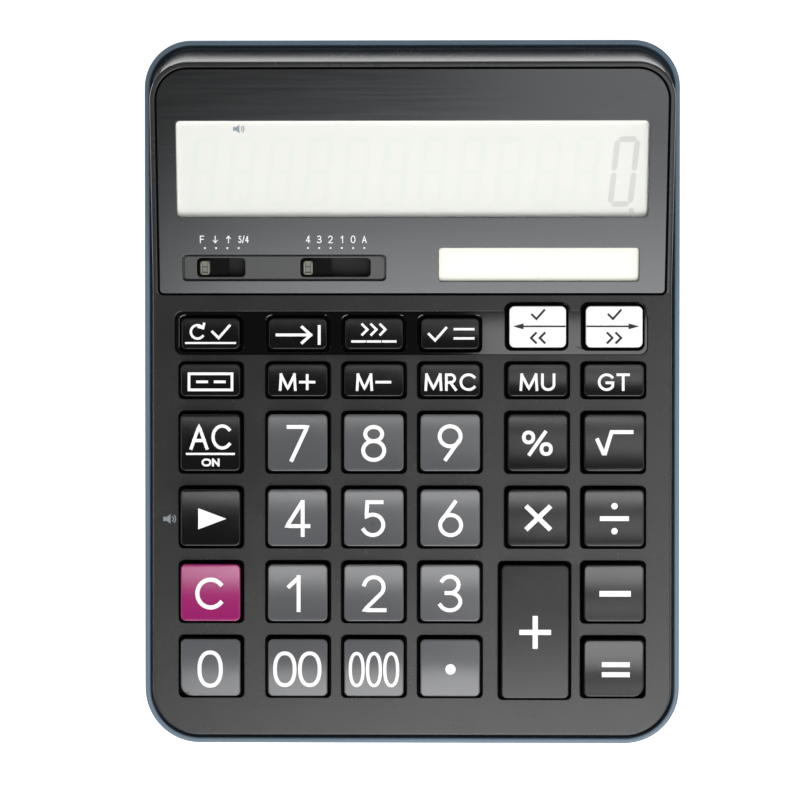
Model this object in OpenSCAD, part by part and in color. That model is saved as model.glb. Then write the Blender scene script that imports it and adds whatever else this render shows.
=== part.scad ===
// Desk calculator with a tilted display, 35 push keys and two slide switches.
// Millimetres, +Z up, +Y towards the display, the feet stand on Z = 0.

/* [Case] */
// Overall width across the rim of the lower case
body_w = 140; // [134:1:150]
// Length of the rim, measured along the key panel
body_l = 184.1; // [182:0.1:190]
// Slope of the key panel above the table, in degrees
panel_slope = 4.5; // [3.5:0.1:5]
// Height of the key panel above the table at its front end
front_h = 13; // [12.8:0.1:15]
// Outer corner radius of the rim at the front
corner_front = 14.4; // [12:0.2:16]
// Outer corner radius of the rim at the back
corner_rear = 12.3; // [10:0.1:14]
// Visible width of the rim of the lower case
rim_w = 1.4; // [1.2:0.1:1.6]
// Width of the dark groove between rim and upper case
groove_w = 0.9; // [0.6:0.1:1]
// Depth of the rim's top edge below the key panel
rim_drop = 1.4; // [1:0.1:2]

/* [Keys] */
// Distance between neighbouring key columns
col_pitch = 19.83; // [19.6:0.01:20]
// Distance across the wider gaps beside the number keys
col_gap = 22.7; // [22.4:0.1:23]
// Distance between key rows
row_pitch = 19.55; // [19.4:0.01:19.7]
// Width of a key's opening in the panel
open_w = 17.1; // [17:0.1:17.4]
// Height of a key's opening in the panel
open_d = 16.4; // [16.2:0.1:16.6]
// Height of the big keys above the panel
key_rise = 2.8; // [2.2:0.1:3.2]
// Distance a key travels when it is pressed
key_travel = 2; // [1:0.1:2]

/* [Display] */
// Tilt of the display above the key panel, in degrees
display_tilt = 8.5; // [7.5:0.1:9.5]
// Length of the display panel along its slope
display_l = 57.9; // [57:0.1:59]
// Width of the display window
window_w = 122.1; // [118:0.1:124]
// Height of the display window along the slope
window_d = 24.8; // [22:0.1:26]

/* [Slide switches] */
// Distance between two stops of a slide switch
stop_pitch = 2.93; // [2.7:0.01:3]

/* [Hidden] */
$fn = 32;

// Heights above the key panel's surface, all measured square to it
rim_h = 1.6;
panel_t = 2;
wall_t = 1.8;
skirt_low = -6;
flange_top = -2.2;
flange_t = 0.8;
stem_low = -4;
membrane_top = -7;
membrane_t = 0.8;
board_top = membrane_top - membrane_t;
board_t = 1.6;
board_low = board_top - board_t;

// Outline of the rim and of the upper case
half_l = body_l / 2;
inset = rim_w + groove_w;
top_half_w = body_w / 2 - inset;
top_front = -half_l + inset + 0.1;
top_rear = half_l - inset - 0.3;
floor_z = 1.2;
floor_t = 1.8;

// The key panel's frame: its origin stands panel_z above the table
panel_z = front_h + half_l * sin(panel_slope);
panel_y = (2 * rim_drop + rim_h) / -2 * sin(panel_slope);

// Key columns and rows
col_3 = -col_pitch / 2;
col_4 = col_pitch / 2;
col_2 = col_3 - col_pitch;
col_1 = col_2 - col_gap;
col_5 = col_4 + col_gap;
col_6 = col_5 + col_pitch;
row_3 = -13;
row_4 = row_3 - row_pitch;
row_5 = row_4 - row_pitch;
row_6 = row_5 - row_pitch;
row_2 = 3.2;
row_1 = 15.3;
row_1_white = 17.1;
row_2_d = 9.8;
gap_side = 0.45;
draft = 0.4;
plus_x = 32;
plus_y = (row_5 + row_6) / 2 - 0.3;
plus_w = 19.1;
plus_d = row_pitch + open_d + 0.3;
corner_key = 1;
dish_depth = 0.35;

// Glossy trim behind the first key row
trim_w = 123.4;
trim_d = 11.5;
trim_drop = 0.5;
trim_seat = 1.3;
small_open_w = 16.5;
small_open_d = 9.4;
white_open_w = 15.9;
white_open_d = 11.9;
white_well_w = 16.9;
white_well_d = 12.7;
row_1_open = [
    [col_1, row_1, small_open_w, small_open_d],
    [col_2, row_1, small_open_w, small_open_d],
    [col_3, row_1, small_open_w, small_open_d],
    [col_4, row_1, small_open_w, small_open_d],
    [col_5, row_1_white, white_open_w, white_open_d],
    [col_6, row_1_white, white_open_w, white_open_d]];

// Display: its frame starts at the hinge line where its slope meets the key panel
display_y = 25.85;
plate_half_w = 65.85;
plate_t = 1.2;
plate_groove = 0.5;
frame_l = display_l + 1.8;
// The back of the upper case leans forward above this height, up to the display's frame
lean_low = -1;
back_lean = atan2(top_rear - display_y - frame_l * cos(display_tilt),
    frame_l * sin(display_tilt) - lean_low);
window_y = 32.3;
window_drop = 0.3;
lcd_w = 126;
lcd_d = 29;
lcd_t = 1.8;
lcd_top = -3;
solar_x = 33.35;
solar_y = 7.65;
solar_w = 52;
solar_d = 8.4;
switch_x = -32.9;
switch_y = 6.75;
switch_w = 53;
switch_d = 6.8;
switch_drop = 0.7;
slot_d = 5;
slot_1_x = -49.35;
slot_1_w = 12.5;
slot_2_x = -19.55;
slot_2_w = 18.2;
knob_1_x = -53.6;
knob_2_x = -26.75;
knob_w = 2.35;
knob_d = 3.5;
knob_rise = 0.6;
shield_top = -2.1;
shield_t = 0.8;
switch_board_top = -4;
switch_board_y = switch_y + 1.6;
switch_board_d = 11;
switch_peg_x = 25;
switch_peg_y = switch_board_y + 3.9;

// Fasteners: [x, y, height of the joint between the posts, height where the upper post ends]
case_screw_at = [
    [-41.1, -83.8, -5.6, -1], [41.1, -83.8, -5.6, -1],
    [-61.5, 31, -12, -1], [61.5, 31, -12, -1],
    [-44, 77.9, -14, 5.6], [44, 77.9, -14, 5.6]];
board_screw_at = [
    [-41.1, row_3 - row_pitch / 2], [-41.1, row_5 - row_pitch / 2],
    [21.26, row_3 - row_pitch / 2], [-41.1, 5], [21.26, 5]];
post_r = 2.6;
boss_r = 2;
screw_r = 1;
head_r = 2;
head_t = 1.1;
seat_depth = 3;

// Underside, in table coordinates
door_x = 30;
door_y = 42;
door_w = 24;
door_d = 30;
door_gap = 0.2;
door_screw_y = door_y + 10;
cell_y = door_y - 4;
cell_r = 5.8;
cell_t = 3.1;
buzzer_x = -32;
buzzer_y = 42;
buzzer_r = 11;
foot_x = 54;
foot_front = -74;
foot_rear = 72;
foot_r = 5;
foot_t = 2;

// Frames of reference
module on_panel() {
    translate([0, panel_y, panel_z]) rotate([panel_slope, 0, 0]) children();
}

module on_display() {
    on_panel() translate([0, display_y, 0]) rotate([display_tilt, 0, 0]) children();
}

// Flat outlines with round corners: front-left, front-right, back-right, back-left
module outline(x0, y0, x1, y1, r) {
    corners = [[x0, y0, 1, 1], [x1, y0, -1, 1], [x1, y1, -1, -1], [x0, y1, 1, -1]];
    difference() {
        translate([x0, y0]) square([x1 - x0, y1 - y0]);
        for (i = [0:3]) {
            c = corners[i];
            translate([c[0], c[1]]) scale([c[2], c[3]]) difference() {
                translate([-1, -1]) square(r[i] + 1);
                translate([r[i], r[i]]) circle(r[i]);
            }
        }
    }
}

module round_box(w, d, r, low, high) {
    translate([0, 0, low]) linear_extrude(high - low)
        outline(-w / 2, -d / 2, w / 2, d / 2, [r, r, r, r]);
}

// Case outlines, grown outwards by grow
module rim_outline(grow) {
    outline(-body_w / 2 - grow, -half_l - grow, body_w / 2 + grow, half_l + grow,
        [corner_front + grow, corner_front + grow, corner_rear + grow, corner_rear + grow]);
}

module top_outline(grow) {
    f = corner_front - inset + grow;
    b = corner_rear - inset + grow;
    outline(-top_half_w - grow, top_front - grow, top_half_w + grow, top_rear + grow,
        [f, f, b, b]);
}

module plate_outline(grow) {
    outline(-plate_half_w - grow, -grow, plate_half_w + grow, display_l + grow,
        [1 + grow, 1 + grow, 8 + grow, 8 + grow]);
}

module trim_outline(grow) {
    round_rect(0, row_1, trim_w + 2 * grow, trim_d + 2 * grow, 2 + grow);
    for (x = [col_5, col_6])
        round_rect(x, row_1_white, white_well_w + 2 * grow, white_well_d + 2 * grow, 2 + grow);
}

module round_rect(x, y, w, d, r) {
    outline(x - w / 2, y - d / 2, x + w / 2, y + d / 2, [r, r, r, r]);
}

// Lower case: a tray whose floor is level and whose rim follows the key panel
module tray_solid(grow, low) {
    hull() {
        on_panel() translate([0, 0, -rim_drop - rim_h]) linear_extrude(rim_h) rim_outline(grow);
        translate([0, 0, low + 3]) linear_extrude(0.1) floor_outline(3 + grow);
        translate([0, 0, low]) linear_extrude(0.1) floor_outline(grow);
    }
}

module floor_outline(grow) {
    x = body_w / 2 - 6 + grow;
    r = 10 + grow;
    outline(-x, -half_l + 5 - grow, x, half_l - 9 + grow, [r, r, r, r]);
}

module lower_case() {
    color("#5c6f80") difference() {
        union() {
            difference() {
                tray_solid(0, floor_z);
                tray_solid(-inset - 1.7, floor_z + floor_t);
                on_panel() translate([0, 0, skirt_low]) linear_extrude(20) rim_outline(-rim_w);
            }
            intersection() {
                tray_solid(-0.5, floor_z);
                union() {
                    tray_posts();
                    battery_walls();
                    buzzer_ring();
                    tray_ribs();
                }
            }
        }
        on_panel() for (s = case_screw_at) translate([s[0], s[1], s[2] - seat_depth]) {
            translate([0, 0, -20]) cylinder(r = head_r + 0.4, h = 20);
            cylinder(r = screw_r + 0.1, h = seat_depth + 1);
        }
        translate([door_x, door_y, 0]) round_box(door_w, door_d, 1.5, -1, 3.1);
        translate([door_x, door_y - door_d / 2, floor_z + 0.9])
            cube([8.4, 4, 1.2], center = true);
        translate([door_x, door_screw_y, 0]) cylinder(r = screw_r + 0.02, h = 8);
        for (x = [-foot_x, foot_x], y = [foot_front, foot_rear])
            translate([x, y, 0]) cylinder(r = foot_r + 0.2, h = foot_t);
        for (a = [0:60:300]) translate([buzzer_x, buzzer_y, 0]) rotate(a)
            translate([5, 0, 0]) cylinder(r = 0.8, h = 4);
        translate([buzzer_x, buzzer_y, 0]) cylinder(r = 0.8, h = 4);
    }
}

module tray_posts() {
    on_panel() for (s = case_screw_at) translate([s[0], s[1], s[2] - 25])
        cylinder(r = post_r + 0.6, h = 25);
}

module battery_walls() {
    translate([door_x, door_y, 0]) difference() {
        round_box(door_w + 3, door_d + 3, 2.5, floor_z + 1, 8);
        round_box(door_w, door_d, 1.5, 0, 9);
    }
    translate([door_x - door_w / 2 - 1, door_screw_y - 3, 3.1])
        cube([door_w + 2, 6, 4.9]);
}

module buzzer_ring() {
    translate([buzzer_x, buzzer_y, floor_z + 1]) difference() {
        cylinder(r = buzzer_r + 1.6, h = 4);
        translate([0, 0, -1]) cylinder(r = buzzer_r + 0.2, h = 6);
    }
}

module tray_ribs() {
    for (x = [-15, 8]) translate([x, -68, floor_z + 1]) cube([1.2, 148, 3]);
    for (y = [-50, -10]) translate([-60, y, floor_z + 1]) cube([120, 1.2, 3]);
}

// Upper case: a flat key panel in front and a wedge that carries the display behind
module front_part(grow) {
    intersection() {
        top_outline(grow);
        translate([-body_w, -body_l]) square([2 * body_w, body_l + display_y]);
    }
}

// What lies behind the hinge line, under the leaning back: it reaches a little under the key panel
module rear_column(grow) {
    f = corner_front;
    b = corner_rear - inset + grow;
    x = top_half_w + grow;
    intersection() {
        on_panel() translate([0, 0, skirt_low - 1]) linear_extrude(30) top_outline(grow);
        on_panel() translate([0, top_rear, lean_low]) rotate([back_lean, 0, 0])
            translate([0, 0, -10]) linear_extrude(40)
                outline(-x, -body_l, x, grow, [f, f, b + 0.7, b + 0.7]);
        on_panel() translate([-body_w, display_y - 4, -20]) cube([2 * body_w, body_l, 50]);
    }
}

module upper_shell() {
    on_panel() translate([0, 0, skirt_low]) linear_extrude(-skirt_low) front_part(0);
    intersection() {
        rear_column(0);
        on_display() translate([-body_w, -body_l, -40]) cube([2 * body_w, 2 * body_l, 40]);
        on_panel() translate([-body_w, 0, skirt_low]) cube([2 * body_w, body_l, 40]);
    }
}

module upper_cavity() {
    on_panel() translate([0, 0, skirt_low - 1])
        linear_extrude(-skirt_low + 1 - panel_t) front_part(-wall_t);
    intersection() {
        rear_column(-wall_t);
        union() {
            on_display() translate([-body_w, 8, -42.8]) cube([2 * body_w, body_l, 40]);
            on_panel() translate([-body_w, 0, -20 - panel_t]) cube([2 * body_w, body_l, 20]);
        }
    }
}

module upper_posts() {
    on_panel() {
        for (s = case_screw_at) translate([s[0], s[1], s[2]])
            cylinder(r = post_r, h = s[3] - s[2]);
        for (s = board_screw_at) translate([s[0], s[1], board_top])
            cylinder(r = boss_r, h = -board_top - 1);
    }
    on_display() for (x = [-switch_peg_x, switch_peg_x])
        translate([switch_x + x, switch_peg_y, 0]) {
            translate([0, 0, switch_board_top]) cylinder(r = 1.4, h = 1.6);
            translate([0, 0, switch_board_top - 1.5]) cylinder(r = 0.75, h = 2);
        }
}

module upper_case() {
    color("#37383a") difference() {
        union() {
            difference() {
                upper_shell();
                upper_cavity();
            }
            upper_posts();
        }
        on_panel() {
            panel_openings();
            translate([0, 0, -trim_seat]) linear_extrude(3) trim_outline(0.1);
            for (o = row_1_open) translate([o[0], o[1], 0])
                round_box(o[2] + 0.4, o[3] + 0.4, 1.6, -3, -1);
            for (s = case_screw_at) translate([s[0], s[1], s[2] - 1])
                cylinder(r = screw_r + 0.02, h = 5);
            for (s = board_screw_at) translate([s[0], s[1], board_top - 1])
                cylinder(r = screw_r + 0.02, h = 6);
        }
        on_display() {
            translate([0, 0, -plate_t]) linear_extrude(3) plate_outline(plate_groove);
            translate([0, window_y, 0]) round_box(window_w + 3, window_d + 3, 1.5, -5, -1);
            translate([solar_x, solar_y, 0]) round_box(solar_w + 3, solar_d + 2.4, 1, -5, -1);
            translate([switch_x, switch_y, 0]) round_box(switch_w + 1, switch_d + 1, 1, -5, -1);
        }
    }
}

// Key openings for the rows in front of the trim
big_open = [
    for (x = [col_1, col_2, col_3, col_4, col_5, col_6], y = [row_3, row_4]) [x, y],
    for (x = [col_1, col_2, col_3, col_4, col_6], y = [row_5, row_6]) [x, y]];

module panel_openings() {
    for (o = big_open) translate([o[0], o[1], 0]) round_box(open_w, open_d, 1.3, -3, 1);
    for (x = [col_1, col_2, col_3, col_4, col_5, col_6]) translate([x, row_2, 0])
        round_box(open_w, row_2_d, 1.3, -3, 1);
    translate([plus_x, plus_y, 0]) round_box(plus_w, plus_d, 1.3, -3, 1);
}

// Display pieces
module display_panel() {
    color("#5b5e5f") on_display() difference() {
        translate([0, 0, -plate_t]) linear_extrude(plate_t) plate_outline(0);
        translate([0, window_y, 0]) round_box(window_w, window_d, 1.2, -2, 1);
        translate([solar_x, solar_y, 0]) round_box(solar_w, solar_d, 1, -2, 1);
        translate([switch_x, switch_y, 0]) round_box(switch_w, switch_d, 1.1, -2, 1);
    }
}

module display_window() {
    color("#e8eef0") on_display() translate([0, window_y, 0])
        round_box(window_w - 0.1, window_d - 0.1, 1.15, -plate_t, -window_drop);
}

module lcd_glass() {
    color("#f2f5ec") on_display() translate([0, window_y, 0])
        round_box(lcd_w, lcd_d, 0.3, lcd_top - lcd_t, lcd_top);
}

module lcd_holder() {
    color("#d8d8d4") on_display() translate([0, window_y, 0]) difference() {
        round_box(lcd_w + 3.4, lcd_d + 4, 1, lcd_top - lcd_t - 1.2, lcd_top + 0.15);
        round_box(lcd_w + 0.2, lcd_d + 0.2, 0.4, lcd_top - lcd_t, lcd_top + 1);
        translate([0, -lcd_d / 2, lcd_top - lcd_t]) cube([66, 7, 4], center = true);
    }
    color("#f4f5f1") on_display() translate([0, window_y, 0]) difference() {
        round_box(window_w + 2.6, window_d + 2.6, 1.4, lcd_top, -plate_t - 0.05);
        round_box(window_w, window_d, 1.2, lcd_top - 1, 0);
    }
}

// Flat cable from the underside of the main board to the display glass
module lcd_ribbon() {
    y0 = 17;
    t = 0.3;
    glass_y = display_y + (window_y - lcd_d / 2 + 2) * cos(display_tilt);
    glass_z = (window_y - lcd_d / 2 + 2) * sin(display_tilt) - 4.9;
    path = [[y0, board_low], [25, board_low], [38, -9], [glass_y - 1.5, -7], [glass_y, glass_z]];
    color("#c9a36a") on_panel() rotate([90, 0, 90]) translate([0, 0, -30]) linear_extrude(60)
        polygon(concat(path, [for (i = [4:-1:0]) path[i] - [0, t] - (i > 2 ? [-t, 0] : [0, 0])]));
}

module solar_cell() {
    color("#f4f1df") on_display() translate([solar_x, solar_y, 0])
        round_box(solar_w + 2.4, solar_d + 2, 0.5, -plate_t - 1.1, -plate_t);
}

module switch_plate() {
    color("#5e5e5e") on_display() translate([switch_x, switch_y, 0]) difference() {
        union() {
            round_box(switch_w - 0.1, switch_d - 0.1, 1.05, -1.9, -switch_drop);
            round_box(switch_w + 0.8, switch_d + 0.8, 1, -1.9, -plate_t);
        }
        translate([slot_1_x - switch_x, 0, 0]) round_box(slot_1_w, slot_d, 0.4, -3, 1);
        translate([slot_2_x - switch_x, 0, 0]) round_box(slot_2_w, slot_d, 0.4, -3, 1);
    }
}

module switch_board() {
    color("#1f2122") difference() {
        on_display() difference() {
            translate([switch_x, switch_board_y, 0])
                round_box(54, switch_board_d, 0.5, switch_board_top - 1.2, switch_board_top);
            for (x = [-switch_peg_x, switch_peg_x]) translate([switch_x + x, switch_peg_y, -6])
                cylinder(r = 0.8, h = 3);
        }
        // A notch that clears the case screw's post
        on_panel() translate([case_screw_at[2][0], case_screw_at[2][1], -20])
            cylinder(r = post_r + 0.3, h = 30);
    }
}

// Slide knob: grip with a finger hollow, on a shield that keeps the slot dark
module slide_knob(x) {
    color("#46463f") on_display() translate([x, switch_y, 0]) {
        difference() {
            round_box(knob_w, knob_d, 0.5, shield_top - 0.1, knob_rise);
            translate([0, 0, knob_rise + 2.6]) rotate([90, 0, 0])
                cylinder(r = 3, h = 10, center = true);
        }
        translate([-2, -slot_d / 2 - 0.4, shield_top - shield_t])
            cube([8, slot_d + 0.8, shield_t]);
        translate([-0.8, -1.4, switch_board_top + 0.2]) cube([1.6, 2.8, 1.2]);
    }
}

module rounding_knob() {
    slide_knob(knob_1_x);
}

module decimal_knob() {
    slide_knob(knob_2_x);
}

// Trim strip of the first key row
module key_row_trim() {
    color("#0c0c0c") on_panel() difference() {
        translate([0, 0, -trim_seat]) linear_extrude(trim_seat - trim_drop) trim_outline(0);
        for (o = row_1_open) translate([o[0], o[1], 0]) round_box(o[2], o[3], 1.4, -2, 1);
    }
}

// Keys: a tapered hollow cap, dished unless dish is 0, with a retaining flange and a stem
module slab(w, d, r, z) {
    translate([0, 0, z]) linear_extrude(0.1) outline(-w / 2, -d / 2, w / 2, d / 2, r);
}

module key(x, y, w, d, rise, r, tint, dish = dish_depth) {
    edge = [0.4, 0.4, 0.4, 0.4];
    across = min(w, d);
    dish_r = (pow(across / 2 - 1, 2) + pow(dish_depth, 2)) / (2 * dish_depth);
    color(tint) on_panel() translate([x, y, 0]) {
        difference() {
            union() {
                hull() {
                    slab(w, d, r + edge, flange_top - 0.1);
                    slab(w - 2 * draft, d - 2 * draft, r + edge, rise - 0.5);
                    slab(w - 2 * draft - 0.6, d - 2 * draft - 0.6, r, rise - 0.1);
                }
                translate([0, 0, flange_top - flange_t]) linear_extrude(flange_t)
                    round_rect(0, 0, w + 2, d + 2, 0.6);
            }
            translate([-w / 2 + 1.8, -d / 2 + 1.8, flange_top - flange_t - 1])
                cube([w - 3.6, d - 3.6, rise + 1.4]);
            if (dish > 0) translate([0, 0, rise + dish_r - dish]) rotate(d > w ? 90 : 0)
                rotate([0, 90, 0])
                    cylinder(r = dish_r, h = max(w, d) - 3.4, center = true, $fn = 96);
        }
        translate([0, 0, stem_low]) cylinder(r = 2, h = rise - stem_low - 1);
    }
}

corner_all = [corner_key, corner_key, corner_key, corner_key];

module big_key(x, y, tint, r = corner_all, dish = dish_depth) {
    key(x, y, open_w - 2 * gap_side, open_d - 2 * gap_side, key_rise, r, tint, dish);
}

module low_key(x, tint) {
    key(x, row_2, open_w - 2 * gap_side, row_2_d - 2 * gap_side + 0.2, 2.2, corner_all, tint);
}

module strip_key(x, tint) {
    key(x, row_1, small_open_w - 0.7, small_open_d - 0.7, 1.8, corner_all, tint);
}

module white_key(x, tint) {
    key(x, row_1_white, white_open_w - 0.5, white_open_d - 0.5, 2.6, corner_all, tint);
}

number_grey = "#6e6f70";
dark_grey = "#3c3d3d";
module key_recheck() { strip_key(col_1, dark_grey); }
module key_go_to() { strip_key(col_2, dark_grey); }
module key_auto_review() { strip_key(col_3, dark_grey); }
module key_correct() { strip_key(col_4, dark_grey); }
module key_check_back() { white_key(col_5, "white"); }
module key_check_forward() { white_key(col_6, "white"); }
module key_display() { low_key(col_1, dark_grey); }
module key_memory_plus() { low_key(col_2, dark_grey); }
module key_memory_minus() { low_key(col_3, dark_grey); }
module key_memory_recall() { low_key(col_4, dark_grey); }
module key_markup() { low_key(col_5, dark_grey); }
module key_grand_total() { low_key(col_6, dark_grey); }
module key_all_clear() { big_key(col_1, row_3, dark_grey); }
module key_7() { big_key(col_2, row_3, number_grey); }
module key_8() { big_key(col_3, row_3, number_grey); }
module key_9() { big_key(col_4, row_3, number_grey); }
module key_percent() { big_key(col_5, row_3, dark_grey); }
module key_root() { big_key(col_6, row_3, dark_grey); }
module key_backspace() { big_key(col_1, row_4, dark_grey); }
module key_4() { big_key(col_2, row_4, number_grey); }
module key_5() {
    big_key(col_3, row_4, number_grey);
    color(number_grey) on_panel() translate([col_3, row_4 - 5.9, key_rise - 0.5])
        cylinder(r = 0.45, h = 0.7);
}
module key_6() { big_key(col_4, row_4, number_grey); }
module key_multiply() { big_key(col_5, row_4, dark_grey); }
module key_divide() { big_key(col_6, row_4, dark_grey); }
module key_clear() { big_key(col_1, row_5, "#9c2a68"); }
module key_1() { big_key(col_2, row_5, number_grey); }
module key_2() { big_key(col_3, row_5, number_grey); }
module key_3() { big_key(col_4, row_5, number_grey); }
module key_plus() {
    key(plus_x, plus_y, plus_w - 2 * gap_side, plus_d - 2 * gap_side, key_rise, corner_all, dark_grey);
}
module key_minus() { big_key(col_6, row_5, dark_grey); }
module key_0() {
    big_key(col_1, row_6, number_grey, [2.8, corner_key, corner_key, corner_key], 0);
}
module key_00() { big_key(col_2, row_6, number_grey, corner_all, 0); }
module key_000() { big_key(col_3, row_6, number_grey, corner_all, 0); }
module key_point() { big_key(col_4, row_6, number_grey, corner_all, 0); }
module key_equals() { big_key(col_6, row_6, dark_grey, [corner_key, 2.6, corner_key, corner_key]); }

// Rubber sheet with one dome under each key, drawn at its pressed height
dome_at = concat(
    big_open,
    [for (x = [col_1, col_2, col_3, col_4, col_5, col_6]) [x, row_2]],
    [for (o = row_1_open) [o[0], o[1]]],
    [[plus_x, plus_y]]);

module board_outline(grow) {
    outline(-60 - grow, -79 - grow, 60 + grow, 23 + grow, [2, 2, 2, 2]);
}

module key_membrane() {
    color("#b9bcbb") on_panel() difference() {
        union() {
            translate([0, 0, membrane_top - membrane_t]) linear_extrude(membrane_t)
                board_outline(-0.8);
            for (p = dome_at) translate([p[0], p[1], membrane_top - 0.1])
                cylinder(r1 = 3.4, r2 = 2.4, h = 0.9);
        }
        for (s = board_screw_at) translate([s[0], s[1], board_top - 1])
            cylinder(r = boss_r + 0.3, h = 5);
    }
}

module main_board() {
    color("#2f6b45") on_panel() difference() {
        translate([0, 0, board_low]) linear_extrude(board_t) board_outline(0);
        for (s = board_screw_at) translate([s[0], s[1], board_low - 1])
            cylinder(r = screw_r + 0.2, h = 5);
    }
}

module processor_chip() {
    color("#1c1c1e") on_panel() translate([0, -18, 0]) {
        round_box(14, 14, 0.3, board_low - 2, board_low - 0.4);
        for (a = [0:90:270]) rotate(a) for (i = [-4:4])
            translate([i * 1.3 - 0.2, 6.9, board_low - 1.2]) cube([0.4, 2.2, 1.2]);
    }
}

module buzzer() {
    translate([buzzer_x, buzzer_y, floor_z + floor_t]) {
        color("#c9a24a") cylinder(r = buzzer_r, h = 0.4);
        color("#e6e3da") translate([0, 0, 0.4]) cylinder(r = buzzer_r - 3, h = 0.3);
    }
}

// Battery bay
module battery_cell() {
    color("silver") translate([door_x, cell_y, 3.1]) difference() {
        cylinder(r = cell_r, h = cell_t);
        translate([0, 0, cell_t - 0.4]) difference() {
            cylinder(r = cell_r - 0.5, h = 1);
            cylinder(r = cell_r - 1.1, h = 1);
        }
    }
}

module battery_contacts() {
    color("#d8d8d8") translate([door_x, cell_y, 0]) {
        translate([-2, -6, 3.1 + cell_t]) cube([4, 15, 0.3]);
        translate([-2, 6.1, 7.5]) cube([4, 3.8, 0.4]);
        translate([-2, 8.7, 3.1 + cell_t]) cube([4, 0.3, 1.6]);
        translate([-11.6, -2, 3.3]) cube([0.3, 4, 5]);
        translate([-11.4, -1.6, 3.8]) cube([5.4, 3.2, 0.3]);
    }
}

module battery_door() {
    color("#5c6f80") difference() {
        union() {
            translate([door_x, door_y, 0])
                round_box(door_w - 2 * door_gap, door_d - 2 * door_gap, 1.3, floor_z, 3);
            translate([door_x, door_y - door_d / 2, floor_z + 0.9])
                cube([8, 3.4, 0.9], center = true);
        }
        translate([door_x, door_screw_y, 0]) cylinder(r = head_r + 0.2, h = floor_z + 1.2);
        translate([door_x, door_screw_y, 0]) cylinder(r = screw_r + 0.2, h = 4);
        for (i = [-2:2]) translate([door_x - 5, door_y - 9 + i * 1.6, floor_z - 0.1])
            cube([10, 0.7, 0.5]);
    }
}

// Screws
module screw(shank) {
    difference() {
        cylinder(r = head_r, h = head_t);
        translate([-1.3, -0.25, -0.1]) cube([2.6, 0.5, 0.8]);
        translate([-0.25, -1.3, -0.1]) cube([0.5, 2.6, 0.8]);
    }
    translate([0, 0, head_t - 0.1]) cylinder(r = screw_r, h = shank + 0.1);
}

module battery_door_screw() {
    color("silver") translate([door_x, door_screw_y, floor_z + 1.2 - head_t]) screw(4.5);
}

module case_screws() {
    color("silver") on_panel() for (s = case_screw_at)
        translate([s[0], s[1], s[2] - seat_depth - head_t]) screw(seat_depth + 3.5);
}

module board_screws() {
    color("silver") on_panel() for (s = board_screw_at)
        translate([s[0], s[1], board_low - head_t]) screw(5);
}

module rubber_feet() {
    color("#202224") for (x = [-foot_x, foot_x], y = [foot_front, foot_rear])
        translate([x, y, 0]) {
            cylinder(r1 = foot_r - 0.6, r2 = foot_r, h = 0.6);
            translate([0, 0, 0.6]) cylinder(r = foot_r, h = foot_t - 0.6);
        }
}

// Leads: a round wire through a list of points
module wire(points, d) {
    $fn = 8;
    for (i = [0:len(points) - 2]) {
        a = points[i];
        v = points[i + 1] - a;
        len_xy = norm([v[0], v[1]]);
        translate(a) rotate([0, atan2(len_xy, v[2]), atan2(v[1], v[0])])
            cylinder(d = d, h = norm(v));
        translate(a) sphere(d = 1.1 * d);
    }
}

module lead_wires() {
    meet_y = 20;
    end_y = 14;
    meet_z = 10.2;
    end_z = 11.4;
    color("#b03030") wire([[door_x + 1, cell_y + 8, 8.4], [22, 36, 10.2],
        [12, meet_y, meet_z], [12, end_y, end_z]], 1);
    color("#202020") wire([[door_x - 11.45, cell_y, 8.8], [14, 30, 10.2],
        [8, meet_y, meet_z], [8, end_y, end_z]], 1);
    color("#b03030") wire([[buzzer_x + 4, buzzer_y, 4.3], [-19, 36, 10],
        [-8, meet_y, meet_z], [-8, end_y, end_z]], 1);
    color("#202020") wire([[buzzer_x + 2, buzzer_y - 4, 4.3], [-22, 28, 10],
        [-12, meet_y, meet_z], [-12, end_y, end_z]], 1);
}

lower_case();
upper_case();
display_panel();
display_window();
lcd_glass();
lcd_holder();
lcd_ribbon();
solar_cell();
key_row_trim();
switch_plate();
switch_board();
rounding_knob();
decimal_knob();
key_membrane();
main_board();
processor_chip();
buzzer();
battery_cell();
battery_contacts();
battery_door();
battery_door_screw();
case_screws();
board_screws();
rubber_feet();
lead_wires();
key_recheck();
key_go_to();
key_auto_review();
key_correct();
key_check_back();
key_check_forward();
key_display();
key_memory_plus();
key_memory_minus();
key_memory_recall();
key_markup();
key_grand_total();
key_all_clear();
key_7();
key_8();
key_9();
key_percent();
key_root();
key_backspace();
key_4();
key_5();
key_6();
key_multiply();
key_divide();
key_clear();
key_1();
key_2();
key_3();
key_plus();
key_minus();
key_0();
key_00();
key_000();
key_point();
key_equals();
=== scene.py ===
import math
from typing import NamedTuple

import bmesh
import bpy
from mathutils import Matrix, Vector

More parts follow.
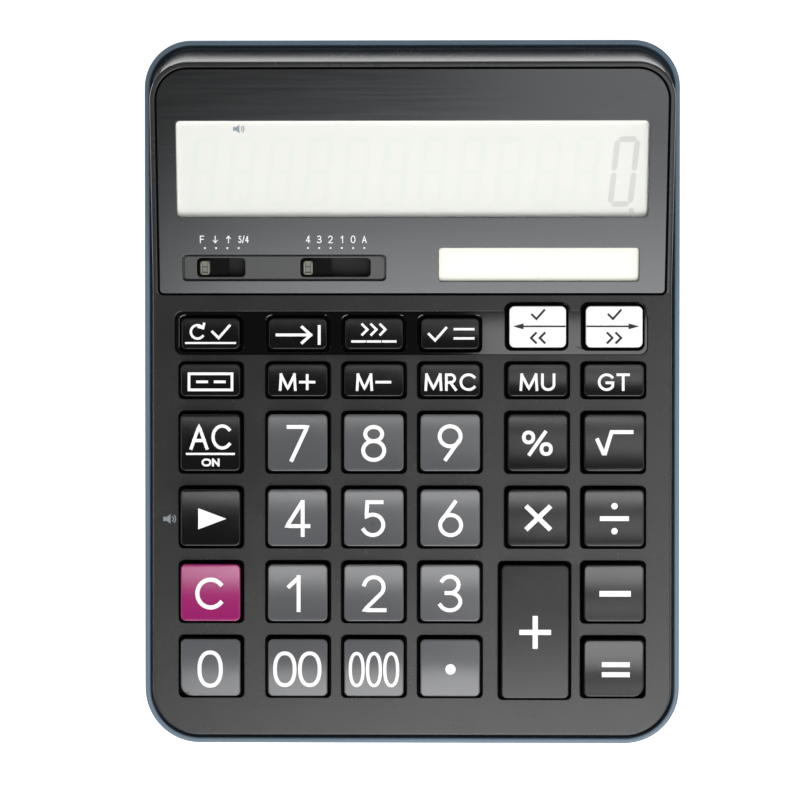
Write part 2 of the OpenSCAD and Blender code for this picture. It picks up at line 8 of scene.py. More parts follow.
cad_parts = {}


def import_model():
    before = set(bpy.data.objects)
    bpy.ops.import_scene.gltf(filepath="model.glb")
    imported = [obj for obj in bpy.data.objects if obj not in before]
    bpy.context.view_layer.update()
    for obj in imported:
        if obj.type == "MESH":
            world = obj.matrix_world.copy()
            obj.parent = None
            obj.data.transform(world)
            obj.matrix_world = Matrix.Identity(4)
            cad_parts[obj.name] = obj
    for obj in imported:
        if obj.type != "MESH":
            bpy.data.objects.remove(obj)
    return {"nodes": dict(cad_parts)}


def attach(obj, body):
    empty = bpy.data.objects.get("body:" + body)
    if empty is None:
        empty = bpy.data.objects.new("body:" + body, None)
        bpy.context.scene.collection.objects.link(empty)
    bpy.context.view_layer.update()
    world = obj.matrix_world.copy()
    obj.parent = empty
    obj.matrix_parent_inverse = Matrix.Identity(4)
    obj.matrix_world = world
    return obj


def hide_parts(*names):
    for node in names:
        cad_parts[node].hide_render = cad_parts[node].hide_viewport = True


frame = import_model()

for name in ("Cube", "Light", "Camera"):
    if name in bpy.data.objects:
        bpy.data.objects.remove(bpy.data.objects[name])
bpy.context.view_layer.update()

# Sizes are in millimetres until a piece is placed
MM = 0.001
NEAR = 0.01

# The case, as in the frame
BODY_W = 140
BODY_L = 184.1
PANEL_SLOPE = math.radians(4.5)
DISPLAY_TILT = math.radians(8.5)
FRONT_H = 13
RIM_W = 1.4
RIM_DROP = 1.4
RIM_H = 1.6
CORNER_FRONT = 14.4
CORNER_REAR = 12.3
GROOVE_W = 0.9
INSET = RIM_W + GROOVE_W
LEDGE = INSET + 1.7
SKIRT_LOW = -6
LEAN_LOW = -1
WALL = 1.8
SEAT_GAP = 0.2
PANEL_T = 2
TOP_HALF_W = BODY_W / 2 - INSET
TOP_FRONT = -BODY_L / 2 + INSET + 0.1
TOP_REAR = BODY_L / 2 - INSET - 0.3
FLOOR_LOW = 1.2
FLOOR_HIGH = 3
FLOOR_HALF_W = 64
FLOOR_FRONT = -87.05
FLOOR_REAR = 83.05
CHAMFER = 3

# Display
HINGE_Y = 25.85
PLATE_HALF_W = 65.85
PLATE_L = 57.9
PLATE_T = 1.2
PLATE_CORNERS = (1, 1, 8, 8)
PLATE_GROOVE = 0.5
FRAME_L = PLATE_L + 1.8
WINDOW_AT = (0, 32.3)
WINDOW = (122.1, 24.8)
WINDOW_DROP = 0.3
GLASS = (126, 29)
GLASS_TOP = -3
GLASS_T = 1.8
FACE_T = 1.2
FACE_Z = GLASS_TOP + FACE_T
CABLE_GAP = (66, 7)
FILM = 0.02
DIGIT = (6.6, 18.2)
DIGIT_STROKE = 1.45
BAR_GAP = 0.36
DIGIT_LEAN = math.radians(5.6)
DIGIT_PITCH = 9.9
DIGIT_AT = (50.6, 22.4)
SOLAR_AT = (33, 7.5)
SOLAR = (52, 8.7)
FIELDS = 4
SWITCH_AT = (-33.3, 6.72)
SWITCH = (53, 6.8)
SWITCH_DROP = 0.7
# The slots' middles and widths, and the knobs' middles at their first stop
SLOTS = {-49.8: 12.6, -19.95: 18.3}
SLOT_D = 5
KNOBS = {"rounding_knob": -53.9, "decimal_knob": -27.05}
KNOB = (2.35, 3.5)
KNOB_RISE = 0.6
SHIELD_TOP = -2.1
STOP_PITCH = 2.93

# Keys, by columns and rows
PITCH = 19.83
BLOCK_PITCH = 22.7
HALF = PITCH / 2
COLUMNS = (-HALF - PITCH - BLOCK_PITCH, -HALF - PITCH, -HALF,
           HALF, HALF + BLOCK_PITCH, HALF + BLOCK_PITCH + PITCH)
PLUS_COLUMN = COLUMNS[4]
STRIP_COLUMNS = COLUMNS[:4]
WHITE_COLUMNS = COLUMNS[4:]
ROW_PITCH = 19.55
ROW_1 = 15.3
ROW_1_WHITE = 17.1
ROW_2 = 3.2
ROW_3 = -13
ROW_4 = ROW_3 - ROW_PITCH
ROW_5 = ROW_4 - ROW_PITCH
ROW_6 = ROW_5 - ROW_PITCH
OPENING = (17.1, 16.4)
LOW_OPENING = (17.1, 9.8)
PLUS_AT = (32, (ROW_5 + ROW_6) / 2 - 0.3)
PLUS_OPENING = (19.1, 36.25)
OPENING_CORNER = 1.3
LIP = 0.14
KEY_GAP = 0.9
FLANGE_TOP = -2.2
FLANGE_T = 0.8
DRAFT = 0.4
DISH = 0.35
TOP_STRIPS = 14
SHELL = 0.7
RISE = 2.8
PIP_AT = (-0.3, -1.9)
PIP_TOP = RISE - 0.02

# Strip behind the first key row
STRIP_AT = (-0.3, ROW_1 + 0.2)
STRIP = (123.2, 11.1)
STRIP_DROP = 0.5
STRIP_SEAT = 1.3
SMALL_OPENING = (16.5, 9.4)
WHITE_OPENING = (15.9, 11.9)
WHITE_WELL = (16.9, 12.7)

# Underside
DOOR_AT = (30, 42)
DOOR = (24, 30)
DOOR_SCREW_Y = DOOR_AT[1] + 10
BUZZER_AT = (-32, 42)
FEET = [(x, y) for x in (-54, 54) for y in (-74, 72)]
FOOT_R = 5
FOOT_T = 2
POST_R = 3.2
SCREW_HEAD_R = 2.4
SCREW_R = 1.1
SOUND_HOLE_R = 0.8
SOUND_RING_R = 5
# On the panel: where each screw stands and how high its post reaches
CASE_SCREWS = [(-41.1, -83.8, -5.6), (41.1, -83.8, -5.6), (-61.5, 31, -12), (61.5, 31, -12),
               (-44, 77.9, -14), (44, 77.9, -14)]

# Frames of reference: the table, the key panel, the display's slope and the face of its glass
PANEL_Z = FRONT_H + BODY_L / 2 * math.sin(PANEL_SLOPE)
PANEL_Y = -(2 * RIM_DROP + RIM_H) / 2 * math.sin(PANEL_SLOPE)
TABLE = Matrix.Identity(4)
PANEL = Matrix.Translation((0, PANEL_Y, PANEL_Z)) @ Matrix.Rotation(PANEL_SLOPE, 4, "X")
SLOPE_IN_PANEL = Matrix.Translation((0, HINGE_Y, 0)) @ Matrix.Rotation(DISPLAY_TILT, 4, "X")
DISPLAY = PANEL @ SLOPE_IN_PANEL
DISPLAY_FACE = DISPLAY @ Matrix.Translation((0, 0, FACE_Z))


# ---- Modelling

def only(piece):
    """Selects one piece and makes it active."""
    bpy.ops.object.select_all(action="DESELECT")
    piece.select_set(True)
    bpy.context.view_layer.objects.active = piece


def linked(name, data):
    """A new object round its data, in the scene."""
    made = bpy.data.objects.new(name, data)
    bpy.context.collection.objects.link(made)
    return made


def named(name):
    """Names the primitive that was just added and puts its place into its mesh."""
    piece = bpy.context.object
    piece.name = piece.data.name = name
    only(piece)
    bpy.ops.object.transform_apply(location=True, rotation=True, scale=True)
    return piece


def block(name, low, high):
    """A box between two corners."""
    middle = [(a + b) / 2 for a, b in zip(low, high)]
    bpy.ops.mesh.primitive_cube_add(size=1, location=middle, scale=[b - a for a, b in zip(low, high)])
    return named(name)


def rod(name, at, low, high, radius, tip=None, sides=48):
    """An upright round bar, which ends in the radius tip if one is given."""
    bpy.ops.mesh.primitive_cone_add(vertices=sides, radius1=radius, radius2=radius if tip is None else tip,
                                    depth=high - low, location=(at[0], at[1], (low + high) / 2))
    return named(name)


def pick(piece, kind, test):
    """Opens a piece with the vertices, edges or faces selected that pass a test."""
    only(piece)
    bpy.ops.object.mode_set(mode="EDIT")
    bpy.ops.mesh.select_mode(type=kind)
    bpy.ops.mesh.select_all(action="DESELECT")
    mesh = bmesh.from_edit_mesh(piece.data)
    for part in {"VERT": mesh.verts, "EDGE": mesh.edges, "FACE": mesh.faces}[kind]:
        if test(part):
            part.select_set(True)
    mesh.select_flush_mode()
    bmesh.update_edit_mesh(piece.data)


def close():
    """Leaves edit mode."""
    bpy.ops.object.mode_set(mode="OBJECT")


def bevel(piece, test, width, steps=3):
    """Rounds the edges that pass a test."""
    pick(piece, "EDGE", test)
    bpy.ops.mesh.bevel(offset=width, segments=steps, affect="EDGES", clamp_overlap=False)
    close()


def ease(piece, z, width, steps=3):
    """Rounds the level edges at a height."""
    bevel(piece, lambda edge: all(abs(v.co.z - z) < NEAR for v in edge.verts), width, steps)


def facing(z, way=1):
    """Tests whether a face at a height looks up, or down with way -1."""
    return lambda face: abs(face.calc_center_median().z - z) < NEAR and face.normal.z * way > 0.9


def round_block(name, low, high, radii, steps):
    """A box with round upright corners: front-left, front-right, back-right, back-left."""
    piece = block(name, low, high)
    if not isinstance(radii, (tuple, list)):
        bevel(piece, lambda e: abs(e.verts[0].co.z - e.verts[1].co.z) > NEAR, radii, steps)
        return piece
    corners = ((low[0], low[1]), (high[0], low[1]), (high[0], high[1]), (low[0], high[1]))
    for corner, radius in zip(corners, radii):
        spot = Vector(corner)
        bevel(piece, lambda e: all((v.co.xy - spot).length < NEAR for v in e.verts), radius, steps)
    return piece


def arc(x, y, rx, ry, start, end, step=10):
    """Points along an ellipse from one angle to another, in degrees."""
    steps = max(4, round(abs(end - start) / step))
    turns = [math.radians(start + (end - start) * i / steps) for i in range(steps + 1)]
    return [(x + rx * math.cos(a), y + ry * math.sin(a)) for a in turns]


def slab(name, at, size, low, high, corner=0, steps=8):
    """A box of that size round a middle, with round upright corners if a radius is given."""
    x, y = size[0] / 2, size[1] / 2
    ends = (at[0] - x, at[1] - y, low), (at[0] + x, at[1] + y, high)
    return round_block(name, *ends, corner, steps) if corner else block(name, *ends)


def widened(size, by):
    """A size with both of its lengths grown."""
    return size[0] + by, size[1] + by


def split(piece, at, way, test=lambda face: True):
    """Divides the faces that pass a test along a plane."""
    pick(piece, "FACE", test)
    bpy.ops.mesh.bisect(plane_co=at, plane_no=way)
    close()


def span(piece):
    """The lowest and highest corners of what is selected in an open piece."""
    spots = [v.co for v in bmesh.from_edit_mesh(piece.data).verts if v.select]
    return [Vector(end(p[i] for p in spots) for i in range(3)) for end in (min, max)]


def fit(piece, low, high, z):
    """Moves the selected ring of an open piece onto a level outline between two corners."""
    a, b = span(piece)
    size = [(high[i] - low[i]) / (b[i] - a[i]) for i in range(2)]
    bpy.ops.transform.resize(value=(size[0], size[1], 0), center_override=(a + b) / 2)
    a, b = span(piece)
    shift = [(high[i] + low[i] - a[i] - b[i]) / 2 for i in range(2)]
    bpy.ops.transform.translate(value=(shift[0], shift[1], z - a.z))


def extrude(up):
    """Extrudes what is selected in an open piece upwards."""
    bpy.ops.mesh.extrude_region_move(TRANSFORM_OT_translate={"value": (0, 0, up)})


def widen(piece, grow, up):
    """Extrudes what is selected upwards and grows it on every side."""
    extrude(up)
    a, b = span(piece)
    size = [1 + 2 * grow / (b[i] - a[i]) for i in range(2)]
    bpy.ops.transform.resize(value=(size[0], size[1], 1), center_override=(a + b) / 2)


def opening(name, at, size, corner, low, surface, lip=LIP, steps=3, corner_steps=6):
    """A cutter for an opening whose edge at the surface is rounded over by lip."""
    tool = slab(name, at, size, low, surface - lip, corner, corner_steps)
    pick(tool, "FACE", facing(surface - lip))
    turns = [math.radians(90 * i / steps) for i in range(steps + 1)]
    for a, b in zip(turns, turns[1:]):
        widen(tool, lip * (math.cos(a) - math.cos(b)), lip * (math.sin(b) - math.sin(a)))
    widen(tool, 0, 1)
    close()
    return tool


def copy_at(piece, x, y, name=None):
    """A copy of a piece with a mesh of its own, moved along its frame."""
    copy = piece.copy()
    copy.data = piece.data.copy()
    copy.name = copy.data.name = name or piece.name
    bpy.context.collection.objects.link(copy)
    copy.data.transform(Matrix.Translation((x, y, 0)))
    return copy


def copies(form, spots):
    """Copies of a form at each of the spots, in place of the form itself."""
    made = [copy_at(form, x, y) for x, y in spots]
    bpy.data.objects.remove(form)
    return made


def join(pieces, name=None):
    """Joins pieces into the first one, under its name or a new one."""
    bpy.ops.object.select_all(action="DESELECT")
    for piece in pieces:
        piece.select_set(True)
    bpy.context.view_layer.objects.active = pieces[0]
    bpy.ops.object.join()
    if name:
        pieces[0].name = pieces[0].data.name = name
    return pieces[0]


def modify(piece, kind, **settings):
    """Finishes a piece with a modifier that is applied at once."""
    only(piece)
    modifier = piece.modifiers.new(kind, kind)
    for key, value in settings.items():
        setattr(modifier, key, value)
    bpy.ops.object.modifier_apply(modifier=modifier.name)


def combine(piece, tool, how="DIFFERENCE", crossing=False):
    """Cuts a tool out of a piece, or unites the two, and drops the tool, whose parts may be crossing."""
    modify(piece, "BOOLEAN", operation=how, solver="EXACT", use_self=crossing, object=tool)
    bpy.data.objects.remove(tool)


def into(tool, where):
    """Moves a tool that was made in one frame of reference into another."""
    tool.data.transform(where)
    return tool


def smooth(piece, angle=35):
    """Shades a piece smooth up to an angle, with flat faces kept flat."""
    only(piece)
    bpy.ops.object.shade_smooth_by_angle(angle=math.radians(angle))
    modify(piece, "WEIGHTED_NORMAL", keep_sharp=True)


def place(piece, where, material, body="case", node=None):
    """Puts a piece into the frame with its finish, its body and the node it stands for."""
    piece.data.transform(Matrix.Scale(MM, 4) @ where)
    for each in material if isinstance(material, tuple) else (material,):
        piece.data.materials.append(each)
    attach(piece, body)
    if node:
        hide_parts(node)


def stand_in(piece, where, material, node, body="case", angle=35):
    """Shades a piece and puts it into the frame in the place of a CAD node."""
    smooth(piece, angle)
    place(piece, where, material, body, node)


# ---- Case

def ring(piece, grow, z):
    """Extrudes the selected face of an open piece onto the floor's outline, grown on every side."""
    extrude(-1)
    fit(piece, (-FLOOR_HALF_W - grow, FLOOR_FRONT - grow), (FLOOR_HALF_W + grow, FLOOR_REAR + grow), z)


def lower_case(material):
    """The tray: a rim that follows the key panel, on a body that narrows towards the table."""
    low, high = (-BODY_W / 2, -BODY_L / 2, -RIM_DROP - RIM_H), (BODY_W / 2, BODY_L / 2, -RIM_DROP)
    tray = round_block("tray", low, high, (CORNER_FRONT, CORNER_FRONT, CORNER_REAR, CORNER_REAR), 16)
    pick(tray, "FACE", facing(-RIM_DROP))
    bpy.ops.mesh.inset(thickness=RIM_W)
    extrude(SKIRT_LOW + RIM_DROP)
    bpy.ops.mesh.inset(thickness=LEDGE - RIM_W)
    close()
    ease(tray, -RIM_DROP, 0.45, 4)
    tray.data.transform(PANEL)

    pick(tray, "FACE", lambda f: f.normal.z > 0.9 and f.calc_center_median().xy.length < 5)
    ring(tray, CHAMFER - LEDGE, FLOOR_HIGH + CHAMFER)
    ring(tray, -LEDGE, FLOOR_HIGH)
    close()
    pick(tray, "FACE", lambda f: f.normal.z < -0.9)
    ring(tray, CHAMFER, FLOOR_LOW + CHAMFER)
    ring(tray, 0, FLOOR_LOW)
    close()
    ease(tray, FLOOR_LOW + CHAMFER, 1.5, 4)
    ease(tray, FLOOR_LOW, 0.8, 4)

    to_panel = PANEL.inverted()
    bevel(tray, lambda e: all(abs((to_panel @ v.co).z - low[2]) < NEAR for v in e.verts), 0.5, 3)

    posts = []
    for x, y, top in CASE_SCREWS:
        foot = (FLOOR_LOW + 1 - PANEL_Z - y * math.sin(PANEL_SLOPE)) / math.cos(PANEL_SLOPE)
        posts.append(rod("post", (x, y), foot, top, POST_R))
    combine(tray, into(join(posts), PANEL), "UNION")
    bores = [rod("bore", (x, y), -30, top - 3, SCREW_HEAD_R) for x, y, top in CASE_SCREWS]
    bores += [rod("pilot", (x, y), top - 4, top + 1, SCREW_R) for x, y, top in CASE_SCREWS]
    combine(tray, into(join(bores), PANEL))

    spots = [BUZZER_AT] + arc(*BUZZER_AT, SOUND_RING_R, SOUND_RING_R, 0, 300, 60)
    holes = [rod("sound", at, -1, 4, SOUND_HOLE_R, sides=24) for at in spots]
    holes += [rod("foot seat", at, -1, FOOT_T, FOOT_R + SEAT_GAP) for at in FEET]
    holes.append(slab("door seat", DOOR_AT, DOOR, -1, FLOOR_HIGH + 0.1, 1.5))
    combine(tray, join(holes))
    stand_in(tray, TABLE, material, "lower_case")


def tilt_back(z):
    """Tilts what is selected in an open piece up to the display's slope, about the hinge line at a height."""
    bpy.ops.transform.rotate(value=-DISPLAY_TILT, orient_axis="X", orient_type="GLOBAL",
                             center_override=(0, HINGE_Y, z))


def case_form(name, shrink, low, drop):
    """The upper case's outer form or, shrunk and dropped, the hollow inside it."""
    x, front, rear = TOP_HALF_W - shrink, TOP_FRONT + shrink, TOP_REAR - shrink
    f, b = CORNER_FRONT - INSET - shrink, CORNER_REAR - INSET - shrink
    form = round_block(name, (-x, front, low), (x, rear, -drop), (f, f, b, b), 14)
    split(form, (0, HINGE_Y, 0), (0, 1, 0))
    split(form, (0, 0, LEAN_LOW - drop), (0, 0, 1))
    top = -drop - NEAR
    pick(form, "VERT", lambda v: v.co.z > top and v.co.y > rear - b - NEAR)
    bpy.ops.transform.translate(value=(0, HINGE_Y + FRAME_L - TOP_REAR, 0))
    close()
    pick(form, "VERT", lambda v: v.co.z > top and v.co.y > HINGE_Y + NEAR)
    tilt_back(-drop)
    close()
    return form


def key_openings():
    """Cutters for every key that stands in the panel itself, the tall plus key last."""
    big, flat = [opening("opening", (0, 0), size, OPENING_CORNER, -3, 0)
                 for size in (OPENING, LOW_OPENING)]
    spots = [(x, y) for x in COLUMNS for y in (ROW_3, ROW_4)]
    spots += [(x, y) for x in COLUMNS if x != PLUS_COLUMN for y in (ROW_5, ROW_6)]
    tools = copies(big, spots) + copies(flat, [(x, ROW_2) for x in COLUMNS])
    return join(tools + [opening("opening", PLUS_AT, PLUS_OPENING, OPENING_CORNER, -3, 0)])


def is_inside(spot):
    """Tests whether a place in the upper case lies below its outer faces: the inner walls get a near-black,
    dull colour, a painted shade.
    """
    up = SLOPE_IN_PANEL.inverted() @ spot
    depth, end = (-up.z, FRAME_L - up.y) if spot.y > HINGE_Y else (-spot.z, TOP_REAR)
    return depth > LIP and min(TOP_HALF_W - abs(spot.x), spot.y - TOP_FRONT, end) > 1


def upper_case(material):
    """The key panel with the wedge that carries the display, cut in one go to keep its long faces true."""
    case = case_form("upper_shell", 0, SKIRT_LOW, 0)
    bevel(case, lambda e: e.calc_face_angle(0) > 0.6 and min(v.co.z for v in e.verts) > -0.1, 0.55, 4)
    low = -STRIP_SEAT
    tools = [case_form("hollow", WALL, SKIRT_LOW - 1, PANEL_T), key_openings(),
             opening("strip seat", STRIP_AT, widened(STRIP, SEAT_GAP), 2.1, low, 0)]
    for x in WHITE_COLUMNS:
        tools.append(opening("well seat", (x, ROW_1_WHITE), widened(WHITE_WELL, SEAT_GAP), 2.1, low, 0))
        tools.append(slab("hole", (x, ROW_1_WHITE), widened(WHITE_OPENING, 0.4), -3, -1, 1.6))
    for x in STRIP_COLUMNS:
        tools.append(slab("hole", (x, ROW_1), widened(SMALL_OPENING, 0.4), -3, -1, 1.6))
    seat = widened((2 * PLATE_HALF_W, PLATE_L), 2 * PLATE_GROOVE)
    corners = [r + PLATE_GROOVE for r in PLATE_CORNERS]
    tools += [into(tool, SLOPE_IN_PANEL) for tool in (
        opening("plate seat", (0, PLATE_L / 2), seat, corners, -PLATE_T, 0, corner_steps=12),
        slab("hole", WINDOW_AT, widened(WINDOW, 3), -5, -1, 1.5),
        slab("hole", SOLAR_AT, (SOLAR[0] + 3, SOLAR[1] + 2.4), -5, -1, 1),
        slab("hole", SWITCH_AT, widened(SWITCH, 1), -5, -1, 1))]
    combine(case, join(tools), crossing=True)
    # The faces below the outer ones take the second finish, a near-black painted shade.
    for face in case.data.polygons:
        face.material_index = int(is_inside(face.center))
    stand_in(case, PANEL, material, "upper_case")


# ---- Display

def display_plate(material):
    """The metal plate with its windows, in the wedge's recess."""
    low, high = (-PLATE_HALF_W, 0, -PLATE_T), (PLATE_HALF_W, PLATE_L, 0)
    plate = round_block("display_plate", low, high, PLATE_CORNERS, 12)
    ease(plate, 0, 0.15, 3)
    for at, size, corner in ((WINDOW_AT, WINDOW, 1.2), (SOLAR_AT, SOLAR, 0.8), (SWITCH_AT, SWITCH, 1.1)):
        combine(plate, opening("hole", at, size, corner, -PLATE_T - 1, 0, 0.15))
    stand_in(plate, DISPLAY, material, "display_panel")


def display_window(material):
    """The clear window over the display glass."""
    window = slab("window", WINDOW_AT, widened(WINDOW, -0.1), -PLATE_T, -WINDOW_DROP, 1.15)
    ease(window, -WINDOW_DROP, 0.12, 2)
    stand_in(window, DISPLAY, material, "display_window")


def lcd_glass(material):
    """The display's two glasses: the lower one with its ground edges, and a smaller one with the face."""
    glass = slab("glass", WINDOW_AT, GLASS, GLASS_TOP - GLASS_T, GLASS_TOP, 0.3, 2)
    ease(glass, GLASS_TOP, 0.2, 2)
    combine(glass, slab("face", WINDOW_AT, widened(WINDOW, -0.2), GLASS_TOP - 0.2, FACE_Z, 1.1), "UNION")
    stand_in(glass, DISPLAY, material, "lcd_glass")


def lcd_holder(material):
    """The pale frame round the glass, with a collar that reaches up to the window."""
    low = GLASS_TOP - 3
    holder = slab("glass_frame", WINDOW_AT, (GLASS[0] + 3.4, GLASS[1] + 4), low, GLASS_TOP + 0.15, 1)
    collar = slab("collar", WINDOW_AT, widened(WINDOW, 2.6), GLASS_TOP, -PLATE_T - 0.05, 1.4)
    combine(holder, collar, "UNION")
    combine(holder, slab("sight", WINDOW_AT, WINDOW, low + 2, 0, 1.2))
    combine(holder, slab("seat", WINDOW_AT, widened(GLASS, SEAT_GAP), GLASS_TOP - GLASS_T, GLASS_TOP, 0.4))
    cable_at = (0, WINDOW_AT[1] - GLASS[1] / 2)
    combine(holder, slab("cable gap", cable_at, CABLE_GAP, GLASS_TOP - 3.8, GLASS_TOP - 0.6))
    stand_in(holder, DISPLAY, material, "lcd_holder")


def digit(name, bars):
    """A seven-bar digit, its lower left corner at the origin: bars is a string of the letters a to g."""
    width, height = DIGIT
    half, middle = DIGIT_STROKE / 2, height / 2
    long, wide = middle - half - BAR_GAP, width - DIGIT_STROKE - BAR_GAP
    high, deep = middle * 1.5 - half / 2, middle / 2 + half / 2
    spots = {"a": (width / 2, height - half), "g": (width / 2, middle), "d": (width / 2, half),
             "f": (half, high), "b": (width - half, high), "e": (half, deep), "c": (width - half, deep)}
    pieces = []
    for bar in bars:
        length, angle = (wide, 0) if bar in "agd" else (long, 90)
        piece = slab(name, (0, 0), (length, DIGIT_STROKE), 0, FILM, DIGIT_STROKE * 0.45, 1)
        turn = Matrix.Rotation(math.radians(angle), 4, "Z")
        pieces.append(into(piece, Matrix.Translation((*spots[bar], 0)) @ turn))
    slant = Matrix.Identity(4)
    slant[0][1] = math.tan(DIGIT_LEAN)
    return into(join(pieces, name), slant)


def display_digits(shown, ghost):
    """The lit zero with its point, and the faint rest of the twelve digits."""
    point = (DIGIT[0] - 0.3, -1)
    zero = join([digit("display_zero", "abcdef"), rod("display_point", point, 0, FILM, 0.75, sides=16)])
    into(zero, Matrix.Translation((*DIGIT_AT, 0)))
    spots = [(DIGIT_AT[0] - DIGIT_PITCH * n, DIGIT_AT[1]) for n in range(1, 12)]
    row = join(copies(digit("display_faint", "abcdefg"), spots), "display_faint_digits")
    place(zero, DISPLAY_FACE, shown)
    place(row, DISPLAY_FACE, ghost)


def solar_cell(material, line_material):
    """The cell behind its clear face, with the fine lines between its fields."""
    size = (SOLAR[0] + 2.4, SOLAR[1] + 2)
    cell = slab("solar_face", SOLAR_AT, size, -PLATE_T - 1.1, -PLATE_T, 0.5, 4)
    ease(cell, -PLATE_T, 0.15, 2)
    stand_in(cell, DISPLAY, material, "solar_cell")
    lines = []
    for n in range(1, FIELDS):
        at = (SOLAR_AT[0] + SOLAR[0] * (n / FIELDS - 0.5), SOLAR_AT[1])
        lines.append(slab("solar_lines", at, (0.25, SOLAR[1] + 1), -PLATE_T, -PLATE_T + FILM))
    place(join(lines), DISPLAY, line_material)


def switch_plate(material):
    """The plate with the two slots, sunk into the display's plate."""
    low, top = -1.9, -SWITCH_DROP
    plate = slab("slide_plate", SWITCH_AT, widened(SWITCH, -0.8), low, top, 0.9, 6)
    ease(plate, top, 0.18, 2)
    combine(plate, slab("foot", SWITCH_AT, widened(SWITCH, 0.8), low, low + 0.3, 1), "UNION")
    for x, width in SLOTS.items():
        combine(plate, opening("slot", (x, SWITCH_AT[1]), (width, SLOT_D), 1.1, -3, top, 0.12, 2))
    stand_in(plate, DISPLAY, material, "switch_plate")


def slide_knob(name, x, material):
    """A slide's grip: a raised rim round a finger hollow, on the shield that darkens the slot."""
    at = (x, SWITCH_AT[1])
    grip = slab(name, at, KNOB, -2.2, KNOB_RISE, 0.5, 5)
    pick(grip, "FACE", facing(KNOB_RISE))
    bpy.ops.mesh.inset(thickness=0.42)
    extrude(-0.75)
    bpy.ops.transform.resize(value=(0.8, 0.92, 1), center_override=(*at, 0))
    close()
    ease(grip, KNOB_RISE, 0.12, 3)
    ridge = slab("ridge", at, (0.9, 0.35), -0.2, KNOB_RISE - 0.25)
    ease(ridge, KNOB_RISE - 0.25, 0.1, 2)
    shield = slab("shield", (x + 2, at[1]), (8, SLOT_D + 0.8), -2.9, SHIELD_TOP)
    ease(shield, SHIELD_TOP, 0.15, 2)
    tongue = slab("tongue", at, (1.6, 2.8), -3.8, -2.6)
    knob = join([grip, ridge, shield, tongue])
    for face in knob.data.polygons:
        face.material_index = int(face.center.z < -1.5)
    stand_in(knob, DISPLAY, material, name, body=name)


def key_row_strip(material):
    """The glossy strip behind the first key row, with the two wells of the white keys."""
    low, top = -STRIP_SEAT, -STRIP_DROP
    strip = slab("gloss_strip", STRIP_AT, STRIP, low, top, 2)
    for x in WHITE_COLUMNS:
        combine(strip, slab("well", (x, ROW_1_WHITE), WHITE_WELL, low, top, 2), "UNION")
    for x in STRIP_COLUMNS:
        combine(strip, opening("hole", (x, ROW_1), SMALL_OPENING, 1.4, low - 1, top, 0.25))
    hole = widened(WHITE_WELL, -0.3)
    for x in WHITE_COLUMNS:
        combine(strip, opening("hole", (x - 0.1, ROW_1_WHITE), hole, 1.8, low - 1, top, 0.06))
    stand_in(strip, PANEL, material, "key_row_trim", angle=10)


# ---- Keys

class Cap(NamedTuple):
    """The shape of a key's top: its size, height, corner radii and how deep its middle is dished."""
    size: tuple
    rise: float
    corners: tuple = (1, 1, 1, 1)
    dish: float = DISH

    def top(self, y):
        """The height of the top along the key: a hollow, or with a negative dish a crown."""
        reach = self.size[1] / 2 - DRAFT - 0.3
        share = (abs(y) / reach) ** 2
        return self.rise - self.dish * max(1 - share, 0) if self.dish > 0 else self.rise + self.dish * share

    def model(self, name):
        """The cap with drafted sides, a curved top, softly rounded edges and the flange that holds it in."""
        w, d = self.size
        cap = slab(name, (0, 0), self.size, FLANGE_TOP, self.rise, [r + DRAFT for r in self.corners], 7)
        pick(cap, "VERT", lambda v: v.co.z > 0)
        taper = (1 - 2 * DRAFT / w, 1 - 2 * DRAFT / d, 1)
        bpy.ops.transform.resize(value=taper, center_override=(0, 0, self.rise))
        close()
        split(cap, (0, 0, self.rise - SHELL), (0, 0, 1))
        for i in range(1, TOP_STRIPS):
            split(cap, (0, d * (i / TOP_STRIPS - 0.5), 0), (0, 1, 0), lambda face: face.normal.z > 0.9)
        for v in cap.data.vertices:
            if v.co.z > self.rise - NEAR:
                v.co.z = self.top(v.co.y)
        bevel(cap, lambda e: e.calc_face_angle(0) > 0.7 and min(v.co.z for v in e.verts) > 1, 0.3, 4)
        low = FLANGE_TOP - FLANGE_T
        flange = slab("flange", (0, 0), widened(self.size, 2), low, FLANGE_TOP, 0.6, 3)
        return join([cap, flange, rod("stem", (0, 0), -4, low, 2, sides=24)])


BIG = widened(OPENING, -KEY_GAP)
CAPS = {
    "big": Cap(BIG, RISE),
    "thumb": Cap(BIG, RISE, dish=-0.3),
    "thumb_corner": Cap(BIG, RISE, (2.8, 1, 1, 1), dish=-0.3),
    "equals": Cap(BIG, RISE, (1, 2.6, 1, 1)),
    "plus": Cap(widened(PLUS_OPENING, -KEY_GAP), RISE, dish=0),
    "low": Cap((BIG[0], LOW_OPENING[1] - 0.7), 2.2, dish=0.2),
    "strip": Cap(widened(SMALL_OPENING, -0.7), 1.8, dish=0.2),
    "white": Cap(widened(WHITE_OPENING, -0.5), 2.6, dish=0.1),
}

# The keys by rows: their cap, their first column, how far up the panel they stand, and their names
KEY_ROWS = (
    ("strip", 0, ROW_1, "recheck go_to auto_review correct"),
    ("white", 4, ROW_1_WHITE, "check_back check_forward"),
    ("low", 0, ROW_2, "display memory_plus memory_minus memory_recall markup grand_total"),
    ("big", 0, ROW_3, "all_clear 7 8 9 percent root"),
    ("big", 0, ROW_4, "backspace 4 5 6 multiply divide"),
    ("big", 0, ROW_5, "clear 1 2 3"),
    ("plus", 4, ROW_5, "plus"),
    ("big", 5, ROW_5, "minus"),
    ("thumb_corner", 0, ROW_6, "0"),
    ("thumb", 1, ROW_6, "00 000 point"),
    ("equals", 5, ROW_6, "equals"),
)


def key_finish(kind, key):
    """The finish of a key."""
    if kind == "white":
        return "white_keys"
    if key == "clear":
        return "clear_key"
    return "number_keys" if key.isdigit() or key == "point" else "function_keys"


